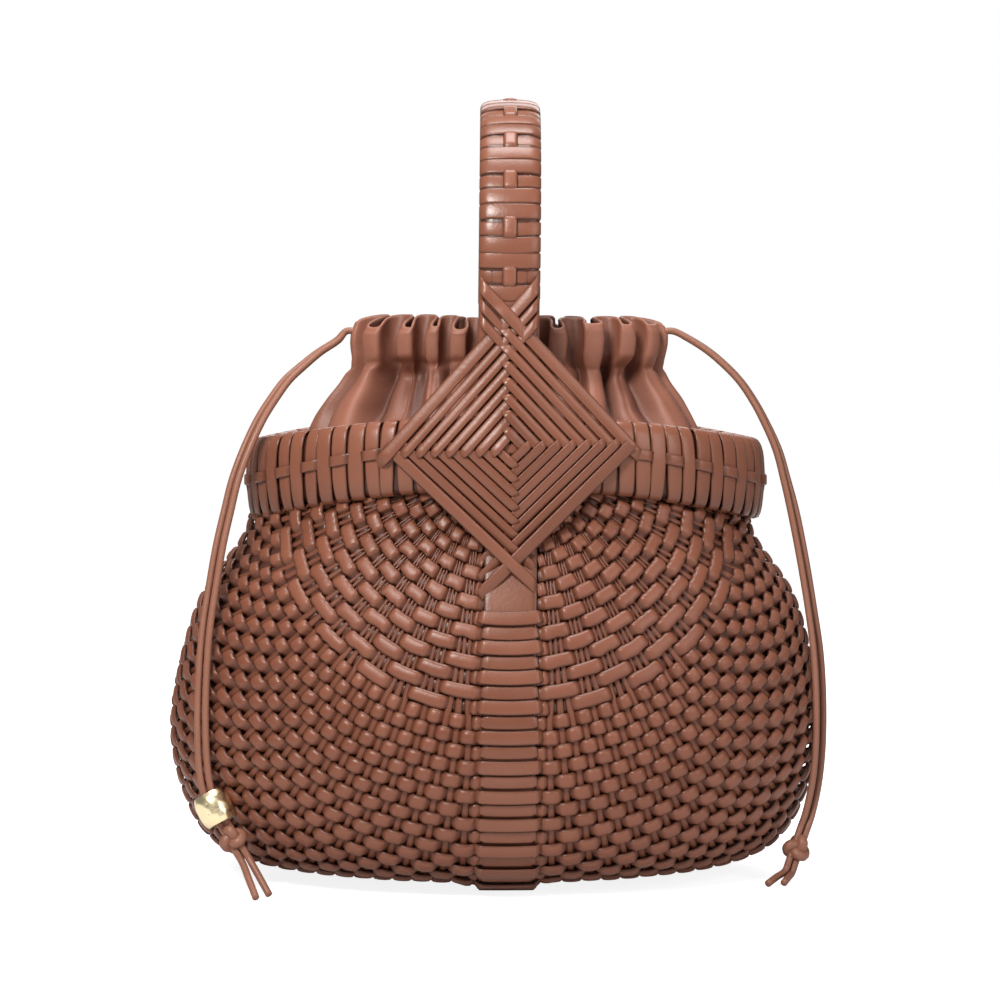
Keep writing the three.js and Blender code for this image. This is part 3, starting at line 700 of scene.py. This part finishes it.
def rimAngle(point):  # the angle round the rim that a point lies under
    return np.arctan2(point[:, 1] / rim["halfDepth"], point[:, 0] / rim["halfWidth"])


def neckTuck(point):  # the weave draws in below the rim on both sides, and lies clear of the floor
    x = np.abs(point[..., 0])
    neck = np.exp(-((point[..., 2] - weave["neckHeight"]) / 15) ** 2) * smooth(70, 100, x)
    floor = np.exp(-(point[..., 2] / 9) ** 2) * smooth(12, 22, x)
    return weave["neckDepth"] * neck + weave["floorClear"] * floor


flatProfile = np.array([
    [-1, 0.1], [-0.96, 0.6], [-0.87, 0.88], [-0.72, 1], [0.72, 1], [0.87, 0.88],
    [0.96, 0.6], [1, 0.1], [0.8, -0.3], [-0.8, -0.3],
])
strapProfile = np.array([
    [-1, 0], [-0.9, 0.62], [-0.45, 0.95], [0.45, 0.95], [0.9, 0.62], [1, 0],
    [0.75, -0.35], [-0.75, -0.35],
])


# A row of the weave on one side of the keel: it swings out over a rib and in under the next,
# as a cosine of the ribs' count, flattened at its crests
def weaveRow(row, side):
    count = np.arange(-0.6, weave["ribs"] + 0.9, 1 / weave["perRib"])
    around = side * ribAngle(count, (row + 0.5) / weave["rows"])
    share = np.interp(around, wallRounds, rowShare[row])
    shown = np.interp(around, wallRounds, rowShown[row])
    pitch = np.interp(around, wallRounds, rowPitch)
    fromEnd = min(row, weave["rows"] - 1 - row)
    inner = 1 - smooth(weave["inner"] - 0.5, weave["inner"] + 0.5, fromEnd)
    swing = np.cos(np.pi * (count + row)) if inner < 0.5 else np.cos(np.pi * ((count - 2) / 3 + row))
    sharp = 0.3 if inner < 0.5 else 0.1
    biased = swing + weave["overShare"]
    swing = biased / np.sqrt(biased**2 + sharp)
    point, out, along = wallAt(around, share)
    top = wallTop(rimAngle(point))
    keep = (shown > 0.3) & (point[:, 2] < top + 3)
    if keep.sum() < 6:
        return None
    first = np.argmax(keep)
    pick = slice(first, first + np.argmin(np.r_[keep[first:], False]))
    nearKeel = smooth(0.1, 0.75, count)
    tuck = smooth(-3, 3, point[:, 2] - top)
    ends = smooth(0.3, 0.75, shown)
    wave = weave["wave"] * (1.5 - 0.5 * inner)
    lift = (wave * swing * nearKeel - weave["sunk"]) - 2.6 * tuck - 1.4 * (1 - ends) - neckTuck(point)
    wobble = np.interp(count, np.arange(-2, weave["ribs"] + 3), rng.normal(0, 1, weave["ribs"] + 5))
    width = pitch * weave["stripShare"] / 2 * (0.93 + 0.07 * swing) * (1 + 0.035 * wobble)
    width = width * (0.45 + 0.55 * ends)
    line = point + out * lift[:, None] + along * (0.16 * wobble)[:, None]
    thick = weave["stripThick"] * (1.0 + 0.12 * swing)
    # painted shade where the strip dives under a rib
    depth = np.clip(0.5 - 0.5 * swing, 0, 1) ** 1.5
    return carry(line[pick], (along * width[:, None])[pick], (out * thick[:, None])[pick],
                 strapProfile, depth=depth[pick], tone=rng.uniform(0.2, 0.8))


ribProfile = np.array([[-1, 0], [-0.7, 0.75], [0, 1], [0.7, 0.75], [1, 0], [0, -0.5]])


# A rib: a half-round strip from one diamond to the other, bunched in threes near each diamond
def ribPart(number, side):
    share = np.linspace(0.07, 0.93, 170)
    row = share * weave["rows"]
    fromEnd = np.minimum(row, weave["rows"] - row)
    spread = 0.66 + 0.34 * smooth(weave["inner"] - 1.5, weave["inner"] + 2.5, fromEnd)
    middle = (number - 1) // 3 * 3 + 2
    around = side * ribAngle(middle + (number - middle) * spread, share)
    point, out, along = wallAt(around, share)
    top = wallTop(rimAngle(point))
    keep = point[:, 2] < top + 3
    if keep.sum() < 8:
        return None
    radius = np.linalg.norm(point[:, [0, 2]] - [diamondShift, diamondZ], axis=1)
    turn = ribAngle(middle + 0.5, share) - ribAngle(middle - 0.5, share)
    spacing = turn * radius * spread
    half = np.minimum(weave["ribHalf"], spacing * (0.43 - 0.02 * (spread - 0.66) / 0.34))
    across = unit(np.cross(along, out))
    tuck = smooth(-4, 3, point[:, 2] - top)
    lift = -weave["sunk"] - 0.3 - 2.4 * tuck - neckTuck(point)
    line = point + out * lift[:, None]
    thick = weave["ribThick"] * (0.75 + 0.25 * smooth(1.0, 1.6, half))
    # the ribs lie under the rows and get a little painted shade
    return carry(line[keep], (across * half[:, None])[keep], (out * thick[:, None])[keep],
                 ribProfile, depth=0.15, tone=rng.uniform(0.2, 0.8))


def makeWeave():
    first, last = weave["shown"]
    middle = weave["rows"] // 2
    for end, rows in (("Front", range(first, middle)), ("Back", range(middle, last))):
        for name, side in (("weaveLeft", -1), ("weaveRight", 1)):
            replaced = ["basket_shell"] if name + end == "weaveLeftFront" else []
            makePiece(name + end, joinParts([weaveRow(row, side) for row in rows]),
                      wovenLeather, *replaced)
    for name, side in (("ribsLeft", -1), ("ribsRight", 1)):
        ribs = [ribPart(number, side) for number in range(1, weave["ribs"] + 1)]
        makePiece(name, joinParts(ribs), wovenLeather)


makeWeave()
print("weave")


# Rim: wraps evenly spaced round it, and a strip laced over and under them
def rimPace(angle):  # mm round the rim for each radian
    return np.hypot(rim["halfWidth"] * np.sin(angle), rim["halfDepth"] * np.cos(angle))


def wrapAngles():
    angle = np.linspace(0, 2 * np.pi, 721)
    step = rimPace(angle)
    walked = np.r_[0, np.cumsum((step[1:] + step[:-1]) / 2)]
    places = (np.arange(rim["wraps"]) + rng.uniform(-0.07, 0.07, rim["wraps"]) + 0.5) / rim["wraps"]
    return np.interp(places * walked[-1], walked, angle)


def rimAt(angle):  # the rim's middle, its outward direction and its direction
    angle = np.asarray(angle, float)
    z = wallTop(angle) + bag["clearance"] + rim["height"] / 2
    zero = np.zeros_like(angle)
    width, depth = rim["halfWidth"], rim["halfDepth"]
    c, s = np.cos(angle), np.sin(angle)
    out = unit(np.stack([c / width, s / depth, zero], -1))
    rise = (bag["wallTopFront"] - bag["wallTopSide"]) * np.sin(2 * angle)
    along = unit(np.stack([-width * s, depth * c, rise], -1))
    return np.stack([width * c + leanAt(z), depth * s, z], -1), out, along


# The rim's outline: a tall rounded oval, as powers of a sine and a cosine, whose foot on the
# outside runs down onto the weave
def rimOutline(turn, flow=1.0):
    rise, reach = np.sin(turn), np.cos(turn)
    up = (rim["height"] / 2 - rim["thick"]) * np.sign(rise) * np.abs(rise) ** 0.72
    out = np.where(reach > 0, rim["out"], rim["inside"]) * np.sign(reach) * np.abs(reach) ** 0.8
    foot = smooth(0.35, 1, -rise) * smooth(-0.3, 0.3, reach) * flow
    return out + 0.4 * foot, up - 4.2 * foot, foot


def outlineNormal(out, up):  # square to a closed outline, pointing away from its middle
    dOut, dUp = np.roll(out, -1) - np.roll(out, 1), np.roll(up, -1) - np.roll(up, 1)
    size = np.maximum(np.hypot(dOut, dUp), 1e-6)
    return dUp / size, -dOut / size


def makeRim():
    angles = wrapAngles()
    steps = np.diff(np.r_[angles, angles[0] + 2 * np.pi])
    turn = fullTurn(32)
    parts = []
    for k, angle in enumerate(angles):
        middle, outward, along = rimAt(angle)
        gap = min(steps[k], steps[k - 1], 0.12)
        half = 0.5 * gap * rimPace(angle)
        front = math.sin(angle) ** 2
        out, up, foot = rimOutline(turn, 1 - 0.8 * front)
        up = up * (1 - rim["frontLess"] * front) + rim["frontRaised"] * front
        laceHeight = rim["laceLow"] + rim["laceRise"] * front
        over = k % 2
        swell = 0.4 * over * np.exp(-((up - laceHeight) ** 2) / 9) * (out > 0)
        out = out + rng.uniform(-0.1, 0.15) + swell
        nOut, nUp = outlineNormal(out, up)
        tilt = rng.uniform(-0.045, 0.045) * up + foot * rng.uniform(-0.5, 0.5)
        line = middle + outward * out[:, None] + np.outer(up, [0, 0, 1]) + along * tilt[:, None]
        away = outward * nOut[:, None] + np.outer(nUp, [0, 0, 1])
        width = half * rng.uniform(0.98, 1.1) * (1 - 0.3 * foot)
        side = along * width[:, None]
        # painted shade on the foot, where the wrap runs down under the rim's edge
        parts.append(carry(line, side, away * rim["thick"], flatProfile, joined=True,
                           depth=0.4 * foot, tone=rng.uniform(0.6, 1.0)))
    ring = fullTurn(160)
    out, up, _ = rimOutline(fullTurn(16), 0)
    middle, outward, _ = rimAt(ring)
    profile = np.stack([out * 0.86, up * 0.97], 1)
    # the rim's heart, seen only between the wraps, is painted in full shade
    heart = carry(middle, outward, [0, 0, 1], profile, joined=True, depth=1.0)
    parts.append(withoutEdge(heart))
    makePiece("rimWraps", joinParts(parts), plainLeather, "rim_hoop")
    count = np.arange(0, len(angles), 0.125)
    angle = np.interp(count, np.arange(len(angles) + 1), np.r_[angles, angles[0] + 2 * np.pi])
    middle, outward, along = rimAt(angle)
    swing = np.cos(np.pi * count)
    swing = swing * 1.1 / np.sqrt(swing**2 + 0.21)
    reach = rim["out"] + rim["thick"] - 0.1 + 0.75 * swing
    height = rim["laceRise"] * np.sin(angle) ** 2 + rim["laceLow"]
    line = middle + outward * reach[:, None] + np.outer(height, [0, 0, 1])
    # painted shade where the laced strip goes under a wrap
    lacing = carry(line, [0, 0, rim["lacing"]], outward * 0.8, flatProfile, joined=True,
                   depth=np.clip(0.5 - 0.5 * swing, 0, 1), tone=0.5)
    makePiece("rimLacing", lacing, plainLeather)


makeRim()
print("rim")

# Handle: a hoop in the plane of the bag's middle
handle = {
    "width": 25.5,
    "thick": 8.0,
    "spring": 265.0,
    "archHalf": 58.0,
    "rimFace": 68.3,  # how far the front of the rim lies from the bag's middle
    "pitch": 6.6,
    "firstWrap": 246.0,
    "strap": 1.0,
    "lacing": 3.0,
}
legFoot = diamondZ + rim["height"] / 2 + bag["clearance"]


def legOut(z):
    foot = handle["rimFace"] - handle["thick"] / 2
    share = np.clip((z - legFoot) / (handle["spring"] - legFoot), 0, 1)
    return foot + (handle["archHalf"] - foot) * share * (2 - share)


def handleLine(lowest):  # leg, half an ellipse, leg
    z = np.linspace(lowest, handle["spring"], 60, endpoint=False)
    leg = np.stack([leanAt(z), -legOut(z), z], 1)
    turn = np.linspace(0, np.pi, 181)
    top = bag["top"] - handle["thick"] / 2 - handle["spring"]
    rise = handle["spring"] + top * np.sin(turn)
    arch = np.stack([leanAt(rise), -handle["archHalf"] * np.cos(turn), rise], 1)
    back = leg[::-1] * [1, -1, 1]
    line = np.vstack([leg, arch, back])
    return resample(line, int(lengthOf(line) / 0.6))


# The handle's outline: a flat oval, as powers of a sine and a cosine
def handleOutline(turn, less=0.0):
    across = (handle["width"] / 2 - less) * np.sign(np.cos(turn)) * np.abs(np.cos(turn)) ** 0.55
    up = (handle["thick"] / 2 - less) * np.sign(np.sin(turn)) * np.abs(np.sin(turn)) ** 0.8
    return across, up


def makeHandle():
    line = handleLine(legFoot - 6)
    walked = walkedAlong(line)
    tangent = unit(np.gradient(line, axis=0))
    outward = unit(np.stack([np.zeros(len(line)), -tangent[:, 2], tangent[:, 1]], 1))
    start = walked[np.argmax(line[:, 2] > handle["firstWrap"])]
    turns = int(round((walked[-1] - 2 * start) / handle["pitch"]))
    places = start + (np.arange(turns) + 0.5) * (walked[-1] - 2 * start) / turns
    turn = fullTurn(36)
    across, up = handleOutline(turn, handle["strap"])
    nAcross, nUp = outlineNormal(across, up)
    radius = handle["archHalf"] + handle["thick"]
    parts = []
    for k, place in enumerate(places):
        middle, along, out = (valuesAt(place, walked, g) for g in (line, tangent, outward))
        over = k % 3 == 1  # the laced strip lies over this wrap
        bump = (-0.6 if over else 0.3 * np.exp(-(across / 5) ** 2)) * (up > 0)
        bend = 1 + up / radius * (middle[2] > handle["spring"])
        sag = 0.9 * (1 - (across / (handle["width"] / 2)) ** 2) * rng.uniform(0.2, 1)
        sag = sag if place < walked[-1] / 2 else -sag
        slant = rng.uniform(-0.015, 0.015) * across - sag * (up > 0)
        ring = middle + np.outer(across, [1, 0, 0]) + np.outer(up + bump, out) + np.outer(slant, along)
        away = np.outer(nAcross, [1, 0, 0]) + np.outer(nUp, out)
        half = handle["pitch"] / 2 * rng.uniform(0.95, 1.0) * (0.9 if over else 1.04)
        parts.append(carry(ring, np.outer(bend * half, along), away * handle["strap"], flatProfile,
                           joined=True, tone=rng.uniform(0.1, 0.8)))
    core = slice(0, None, 4)
    coreAcross, coreUp = handleOutline(fullTurn(16), 0.6)
    profile = np.stack([coreAcross, coreUp], 1)
    # the handle's heart, seen only between wraps, is painted in shade
    heart = carry(line[core], [1, 0, 0], outward[core], profile, depth=0.9)
    foot = (line[:, 2] > legFoot - 4) & (line[:, 2] < handle["firstWrap"] + 2)
    for half in (line[:, 1] < 0, line[:, 1] > 0):
        pick = np.nonzero(foot & half)[0][::3]
        sleeve = carry(line[pick], [1, 0, 0], outward[pick],
                       np.stack(handleOutline(turn[::2], 0.2), 1), tone=0.7)
        parts.append(withoutEdge(sleeve))
    parts.append(withoutEdge(heart))
    makePiece("handleWraps", joinParts(parts), plainLeather, "handle_hoop")
    count = np.arange(-0.4, turns - 0.6, 0.1)
    place = np.interp(count, np.arange(turns), places)
    middle, out = valuesAt(place, walked, line), valuesAt(place, walked, outward)
    near = np.abs((count - 1 + 1.5) % 3 - 1.5)  # how far the nearest crossed wrap is, in wraps
    lift = 1 - smooth(0.42, 0.85, near)
    reach = handle["thick"] / 2 - 1.3 + 1.35 * lift
    strip = middle + out * reach[:, None]
    # painted shade where the laced strip goes under the wraps
    lacing = carry(strip, [handle["lacing"], 0, 0], out * 0.85, strapProfile,
                   depth=0.8 * (1 - lift), tone=0.75)
    makePiece("handleLacing", lacing, plainLeather)


makeHandle()
print("handle")

# Keel: broad strips of the weave over it and narrower ones between them
keel = {"rise": 2.0, "half": 13.9, "narrowHalf": 11.4, "strap": 0.9, "first": 11, "last": 72}


def keelStrip(share, reach, half, lift, dive, tone):
    x = np.linspace(-reach, reach, 33)
    radius = np.interp(share, wallShares, keelRadius)
    point, out, along = wallAt(np.arctan2(x, radius), np.full(len(x), share))
    edge = smooth(0.8, 1.0, np.abs(x) / reach)
    height = lift - dive * edge
    width = half * (1 - 0.25 * edge)
    line = point + out * height[:, None]
    # painted shade on the ends that dive under the weave
    return carry(line, along * width[:, None], out * keel["strap"], flatProfile,
                 depth=0.4 * edge * (dive > 1), tone=tone)


def makeKeel():
    rows = weave["rows"]
    length = ribLengths[len(wallRounds) // 2]
    pitch = length / rows
    parts = []
    for row in range(keel["first"], keel["last"] + 1):
        share = (row + 0.5) / rows
        if row % 2:
            strip = keel["half"], pitch * 0.48, keel["rise"], 2.6, rng.uniform(0.4, 0.9)
        else:
            strip = keel["narrowHalf"], pitch * 0.47, keel["rise"] - 1.5, 0.5, rng.uniform(0.2, 0.6)
        parts.append(keelStrip(share, *strip))
    share = np.linspace(0.07, 0.93, 150)
    point, out, _ = wallAt(np.zeros(len(share)), share)
    across = [keel["narrowHalf"] - 0.6, 0, 0]
    shade = 0.7 * smooth(keel["first"] + 0.4, keel["first"] + 1.0, np.minimum(share, 1 - share) * rows)
    parts.append(carry(point + out * 0.1, across, out * 0.6, flatProfile, depth=0.15 + shade, tone=1.0))
    makePiece("keelStrips", joinParts(parts), plainLeather, "keel_band")


makeKeel()
print("keel")

# Diamonds: a strip wound over the crossing, each side over the next one at its far end
diamond = {
    "halfWidth": 53.0,
    "up": 58.0,
    "down": 50.5,
    "shift": -0.6,
    "raised": 3.4,
    "turn": math.radians(1.0),
    "layers": 8,
    "outerShare": 0.15,  # the outermost strip's share of the way to the centre
    "lift": 1.5,
    "rise": 0.4,  # each layer stands this much prouder than the one outside it
    "strap": 1.6,
    "tilt": 0.27,
    "keelThick": 2.2,
    "armHandle": 13.8,
    "armRim": 9.5,
    "armEdge": 11.2,  # past this far from the hoop's middle a strip turns round its edge
    "armBend": 1.4,
    "armReturn": 5.5,  # the furthest that its end goes back along the edge
}


def crossingFace(x, z):  # how far the face of leg, rim or keel lies out from the bag's middle
    height = (z - bag["wallBottom"]) / wallHeight
    depth = bag["bellyDepth"] * readTable(basketSections, 2, height)
    face = np.where(z > diamondZ, legOut(z) + handle["thick"] / 2,
                    np.maximum(handle["rimFace"], depth + bag["clearance"] + diamond["keelThick"]))
    return face - handle["rimFace"] * (1 - np.sqrt(1 - (x / (rim["halfWidth"] + 5.8)) ** 2))


def diamondStrip(layer, k, side):
    wide, up, down = diamond["halfWidth"], diamond["up"], diamond["down"]
    corners = np.array([[wide, 0], [0, up], [-wide, 0], [0, -down]])
    outermost = layer == diamond["layers"]
    perLayer = (1 - diamond["outerShare"]) / (diamond["layers"] - 1 + 0.45)
    middle = 1 - diamond["outerShare"] / 2 if outermost else (layer - 0.5 + 0.45) * perLayer
    start, end = corners[k] * middle, corners[(k + 1) % 4] * middle
    length = np.linalg.norm(end - start)
    heading = (end - start) / length
    spacing = wide * up / math.hypot(wide, up)
    half = spacing * (diamond["outerShare"] if outermost else perLayer) / 2 * rng.uniform(0.85, 0.94)
    onArm = layer >= diamond["layers"] - 2
    reachArm = diamond["armHandle"] / abs(heading[0])
    toHoop = k in (0, 2)  # its far end lies on the handle or the keel
    over = reachArm if onArm and toHoop else half * 1.25
    before = reachArm if onArm and not toHoop else half * 1.1
    if outermost:
        over = {1: diamond["armRim"], 3: half * 0.2}.get(k, over)
        before = diamond["armRim"] * 0.8 if k == 0 else before
    t = np.concatenate([np.linspace(-before, 0, 14, endpoint=False), np.linspace(0, length, 22),
                        np.linspace(length, length + over, 15)[1:]])
    flat = start + t[:, None] * heading
    faces = [crossingFace(p[0], diamondZ + diamond["raised"] + p[1]) for p in (start, end)]
    face = faces[0] + (faces[1] - faces[0]) * np.clip(t / length, -0.1, 1.1)
    past, ahead = np.maximum(t - length, 0), np.maximum(-t, 0)
    share = np.clip(t / length, 0, 1)
    height = diamond["lift"] + diamond["rise"] * (diamond["layers"] - layer)
    lift = height - 0.5 + 1.0 * smooth(0.25, 1, share)
    low = 0.2 + 0.3 * (diamond["layers"] - layer)
    if outermost and k != 3:
        lift = lift - 1.0 * smooth(1.5, 8, past)
    else:
        lift = lift + (low - lift) * smooth(half * 0.6, half * 1.6, past)
    lift = lift + (low - lift) * smooth(0, half, ahead)
    beyond = past if toHoop else ahead
    if outermost and k == 1:
        lift = lift - 5.0 * smooth(over * 0.35, over, past)
    if outermost and k == 0:
        lift = lift - 4.0 * smooth(before * 0.35, before, ahead)
    c, s = math.cos(diamond["turn"]), math.sin(diamond["turn"])
    turned = flat @ np.array([[c, s], [-s, c]])
    x = diamondShift + diamond["shift"] - side * turned[:, 0]
    z = diamondZ + diamond["raised"] + turned[:, 1]
    line = np.stack([x + leanAt(z), side * (face + lift), z], 1)
    tangent = unit(np.gradient(line, axis=0))
    out = squareTo(tangent, [0, side, 0])
    taper = 1 - 0.2 * smooth(half * 0.2, half * 1.25, past) * (over < 2 * half)
    across = np.cross(tangent, out)
    inward = np.sign((across * ([diamondShift, 0, diamondZ] - line)).sum(1))[:, None]
    across = (across + out * inward * diamond["tilt"]) * (half * taper)[:, None]
    # painted shade where a strip starts under the one before it
    depth = 0.5 * smooth(0, 3, ahead) * (before < 2 * half)
    points, faces, marks = carry(line, across, out * diamond["strap"], flatProfile,
                                 depth=depth, tone=rng.uniform(0.1, 0.6))
    points = points.reshape(len(line), -1, 3)
    offset = points[..., 0] - leanAt(points[..., 2])
    more = np.maximum(np.abs(offset) - diamond["armEdge"], 0) * (beyond > half)[:, None] * onArm
    bend = diamond["armBend"]
    points[..., 0] -= np.sign(offset) * (more - bend * (1 - np.exp(-more / bend)))
    points[..., 1] -= side * diamond["armReturn"] * (1 - np.exp(-more / 3.4))
    return points.reshape(-1, 3), faces, marks


def makeDiamond(name, side, node):
    layers = range(1, diamond["layers"] + 1)
    parts = [diamondStrip(layer, k, side) for layer in layers for k in range(4)]
    peak = crossingFace(0, diamondZ) + diamond["lift"] + diamond["rise"] * diamond["layers"] - 1.8
    x = diamondShift + diamond["shift"] + np.linspace(-3, 3, 7)
    z = np.full(7, diamondZ + diamond["raised"])
    line = np.stack([x + leanAt(z), side * np.full(7, peak), z], 1)
    parts.append(carry(line, [0, 0, 2.6], [0, side, 0], strapProfile, tone=0.9))
    makePiece(name, joinParts(parts), plainLeather, node)


makeDiamond("diamondFront", -1, "diamond_front")
makeDiamond("diamondBack", 1, "diamond_back")
print("diamonds")

# Pouch: gathers at these angles in degrees, from the left cord along the front to the right one,
# and then along the back
gathers = np.array([
    0, 27, 48, 59.5, 70, 81, 94, 108, 123, 140, 158,
    180, 200, 219, 236, 249, 261, 273, 286, 299, 314, 334,
])
pouch = {
    "perFold": 20,
    "loop": 0.13,
    "wall": 1.5,
    "liningInset": 3.4,
    "rimInset": 6.2,
    "shoulder": (0.78, 0.84),  # these are shares of the mouth's height
    "casing": (0.89, 0.935),
    "lip": (0.955, 1.0),
    "seamHeight": 0.912,
    "seamWidth": 0.0055,
    "casingBulge": 1.2,
    "lipDip": 4.2,
    "spread": 0.85,  # how far the folds below the casing keep to the middle
}
# How far each gather draws back below the casing, in mm
drawnBack = np.array([0, 1, 12, 2, 4, 0, 3, 1, 2, 11, 3, 0, 3, 0, 7, 0, 3, 0, 6, 0, 3, 0])


foldCount = np.arange(len(gathers) * pouch["perFold"]) / pouch["perFold"]
foldWave = 0.5 - 0.5 * np.cos(2 * np.pi * foldCount)  # 0 on a ridge, 1 in a valley


def overFolds(values):  # a value for each gather, spread over the points between them
    values = np.asarray(values, float)
    return np.interp(foldCount, np.arange(len(gathers) + 1), np.r_[values, values[0]])


def foldPlaces():
    turned = np.interp(foldCount, np.arange(len(gathers) + 1), np.r_[gathers, 360])
    spacing = np.diff(np.r_[gathers, 360])
    size = overFolds((spacing + np.roll(spacing, 1)) / 2)
    return turned, size / size.mean()


def pouchRings():
    turned, size = foldPlaces()
    phase = 2 * np.pi * foldCount
    vary = [overFolds(noise) for noise in rng.normal(0, 1, (4, len(gathers)))]
    rings = []
    heights = np.r_[np.linspace(0.775, 0.9, 22), np.linspace(0.904, 1.0, 26)]
    wide = np.clip(size, 0.7, 1.5)
    for share in heights:
        z = share * mouth["top"]
        width = mouth["halfWidth"] * readTable(pouchSections, 1, share)
        depth = mouth["halfDepth"] * readTable(pouchSections, 2, share)
        casing = smooth(*pouch["casing"], share)
        top = smooth(*pouch["lip"], share)
        below = smooth(*pouch["shoulder"], share) * (1 - casing)
        shift = 0.9 * vary[0] * (1 - casing) * foldWave
        bottom = 0.5 - 0.5 * np.cos(phase + shift)
        ridge = 0.55 - 1.5 * bottom ** (2.1 - 0.7 * casing)
        fold = mouth["foldDepth"] * (0.6 + 0.4 * smooth(0.77, 0.83, share))
        back = overFolds(drawnBack) * below
        uneven = 1 + 0.16 * vary[0] * (1 - casing) + 0.12 * vary[1] * casing
        reach = fold * ridge * wide**0.5 * uneven
        seam = np.exp(-((share - pouch["seamHeight"] - 0.007 * vary[1]) / pouch["seamWidth"]) ** 2)
        pucker = seam * (0.9 + 0.3 * np.cos(4 * phase + 2 * vary[2]))
        crease = 0.45 * below * np.sin(2 * phase + 2 * vary[3] + share * 25)
        lean = pouch["loop"] * np.sin(2 * phase) * casing + 0.06 * vary[2] * np.sin(phase) * (0.4 + top)
        lean = lean + 0.1 * vary[3] * below * (1 - np.cos(phase)) * 0.5
        shifted = np.interp(foldCount + lean, np.arange(-1, len(gathers) + 2),
                            np.r_[gathers[-1] - 360, gathers, 360, 360 + gathers[1]])
        angle = np.radians(180 + shifted)
        # Lower down the folds hang straight, and only the outer ones spread with the width
        held = pouch["spread"] * max(0.0, 1 - 1.03 * mouth["halfWidth"] / width)
        level = np.cos(angle) * (1 - held * (1 - np.abs(np.cos(angle)) ** 3))
        angle = np.arctan2(np.sign(np.sin(angle)) * np.sqrt(1 - level**2), level)
        normal = unit(np.stack([np.cos(angle) / width, np.sin(angle) / depth], 1))
        bulge = (pouch["casingBulge"] * casing * np.sin(np.pi * np.clip((share - 0.915) / 0.085, 0, 1))
                 + reach - pucker - back + crease + 1.2 * top * (1 - bottom))
        dip = pouch["lipDip"] * (1 - bottom) ** 1.5 * (1 + 0.35 * vary[1]) + 0.5 * vary[3]
        x = mouthX(z) + width * np.cos(angle) + normal[:, 0] * bulge
        y = depth * np.sin(angle) + normal[:, 1] * bulge
        rings.append(np.stack([x, y, z - top**1.5 * dip], 1))
    return np.array(rings), np.radians(180 + turned)


def ringNormals(rings):  # level directions square to each ring, pointing outwards
    tangent = np.roll(rings, -1, 1) - np.roll(rings, 1, 1)
    return unit(np.stack([tangent[..., 1], -tangent[..., 0], np.zeros(rings.shape[:2])], -1))


def liningRings(angle, inset):
    rings = []
    for share in np.r_[0.0, 0.02, np.linspace(0.06, 0.95, 18)]:
        z = bag["wallBottom"] + share * wallHeight
        wide = np.where(np.cos(angle) < 0, bag["bellyLeft"], bag["bellyRight"])
        less = pouch["liningInset"] + inset + 4 * smooth(0.8, 0.95, share)
        x = (wide * readTable(basketSections, 1, share) - less) * np.cos(angle)
        y = (bag["bellyDepth"] * readTable(basketSections, 2, share) - less) * np.sin(angle)
        lifted = z + (4.6 + inset) * (1 - smooth(0, 0.14, share))
        rings.append(np.stack([x + leanAt(z), y, np.full(len(angle), lifted)], 1))
    return np.array(rings)


def makePouch():
    outer, angle = pouchRings()
    width, depth = rim["halfWidth"] - pouch["rimInset"], rim["halfDepth"] - pouch["rimInset"]
    rimRings = np.array([
        np.stack([leanAt(z) + width * np.cos(angle), depth * np.sin(angle), 0 * angle + z], 1)
        for z in (168.0, 177.0, 184.0)
    ])
    outside = np.concatenate([liningRings(angle, 0), rimRings, outer])
    normal = ringNormals(outer)
    inner = outer - normal * pouch["wall"] - [0, 0, 0.3]
    lip = (outer[-1] + inner[-1]) / 2 + [0, 0, 0.7]
    rimInner = rimRings - ringNormals(rimRings) * pouch["wall"]
    inside = np.concatenate([inner[::-1], rimInner[::-1], liningRings(angle, 1.6)[::-1]])
    rings = np.concatenate([outside, [lip], inside])
    # painted shade in the fold valleys
    depth = np.tile(0.45 * foldWave**2, (len(rings), 1))
    hidden = len(outside) - len(outer)
    below = 1 - smooth(0.885, 0.925, outer[:, :, 2] / mouth["top"])
    # more painted shade below the casing, in the valleys and the drawn-back gathers
    depth[hidden:len(outside)] += below * (0.22 * foldWave + 0.024 * overFolds(drawnBack))
    # the lining inside the basket is painted in shade
    depth[:hidden] = 0.95
    # and the pouch's inner side too
    depth[len(outside) + 1:] = 0.8
    piece = makePiece("gatheredPouch", loft(rings, depth=depth), pouchLeather, "pouch")


makePouch()
print("pouch")
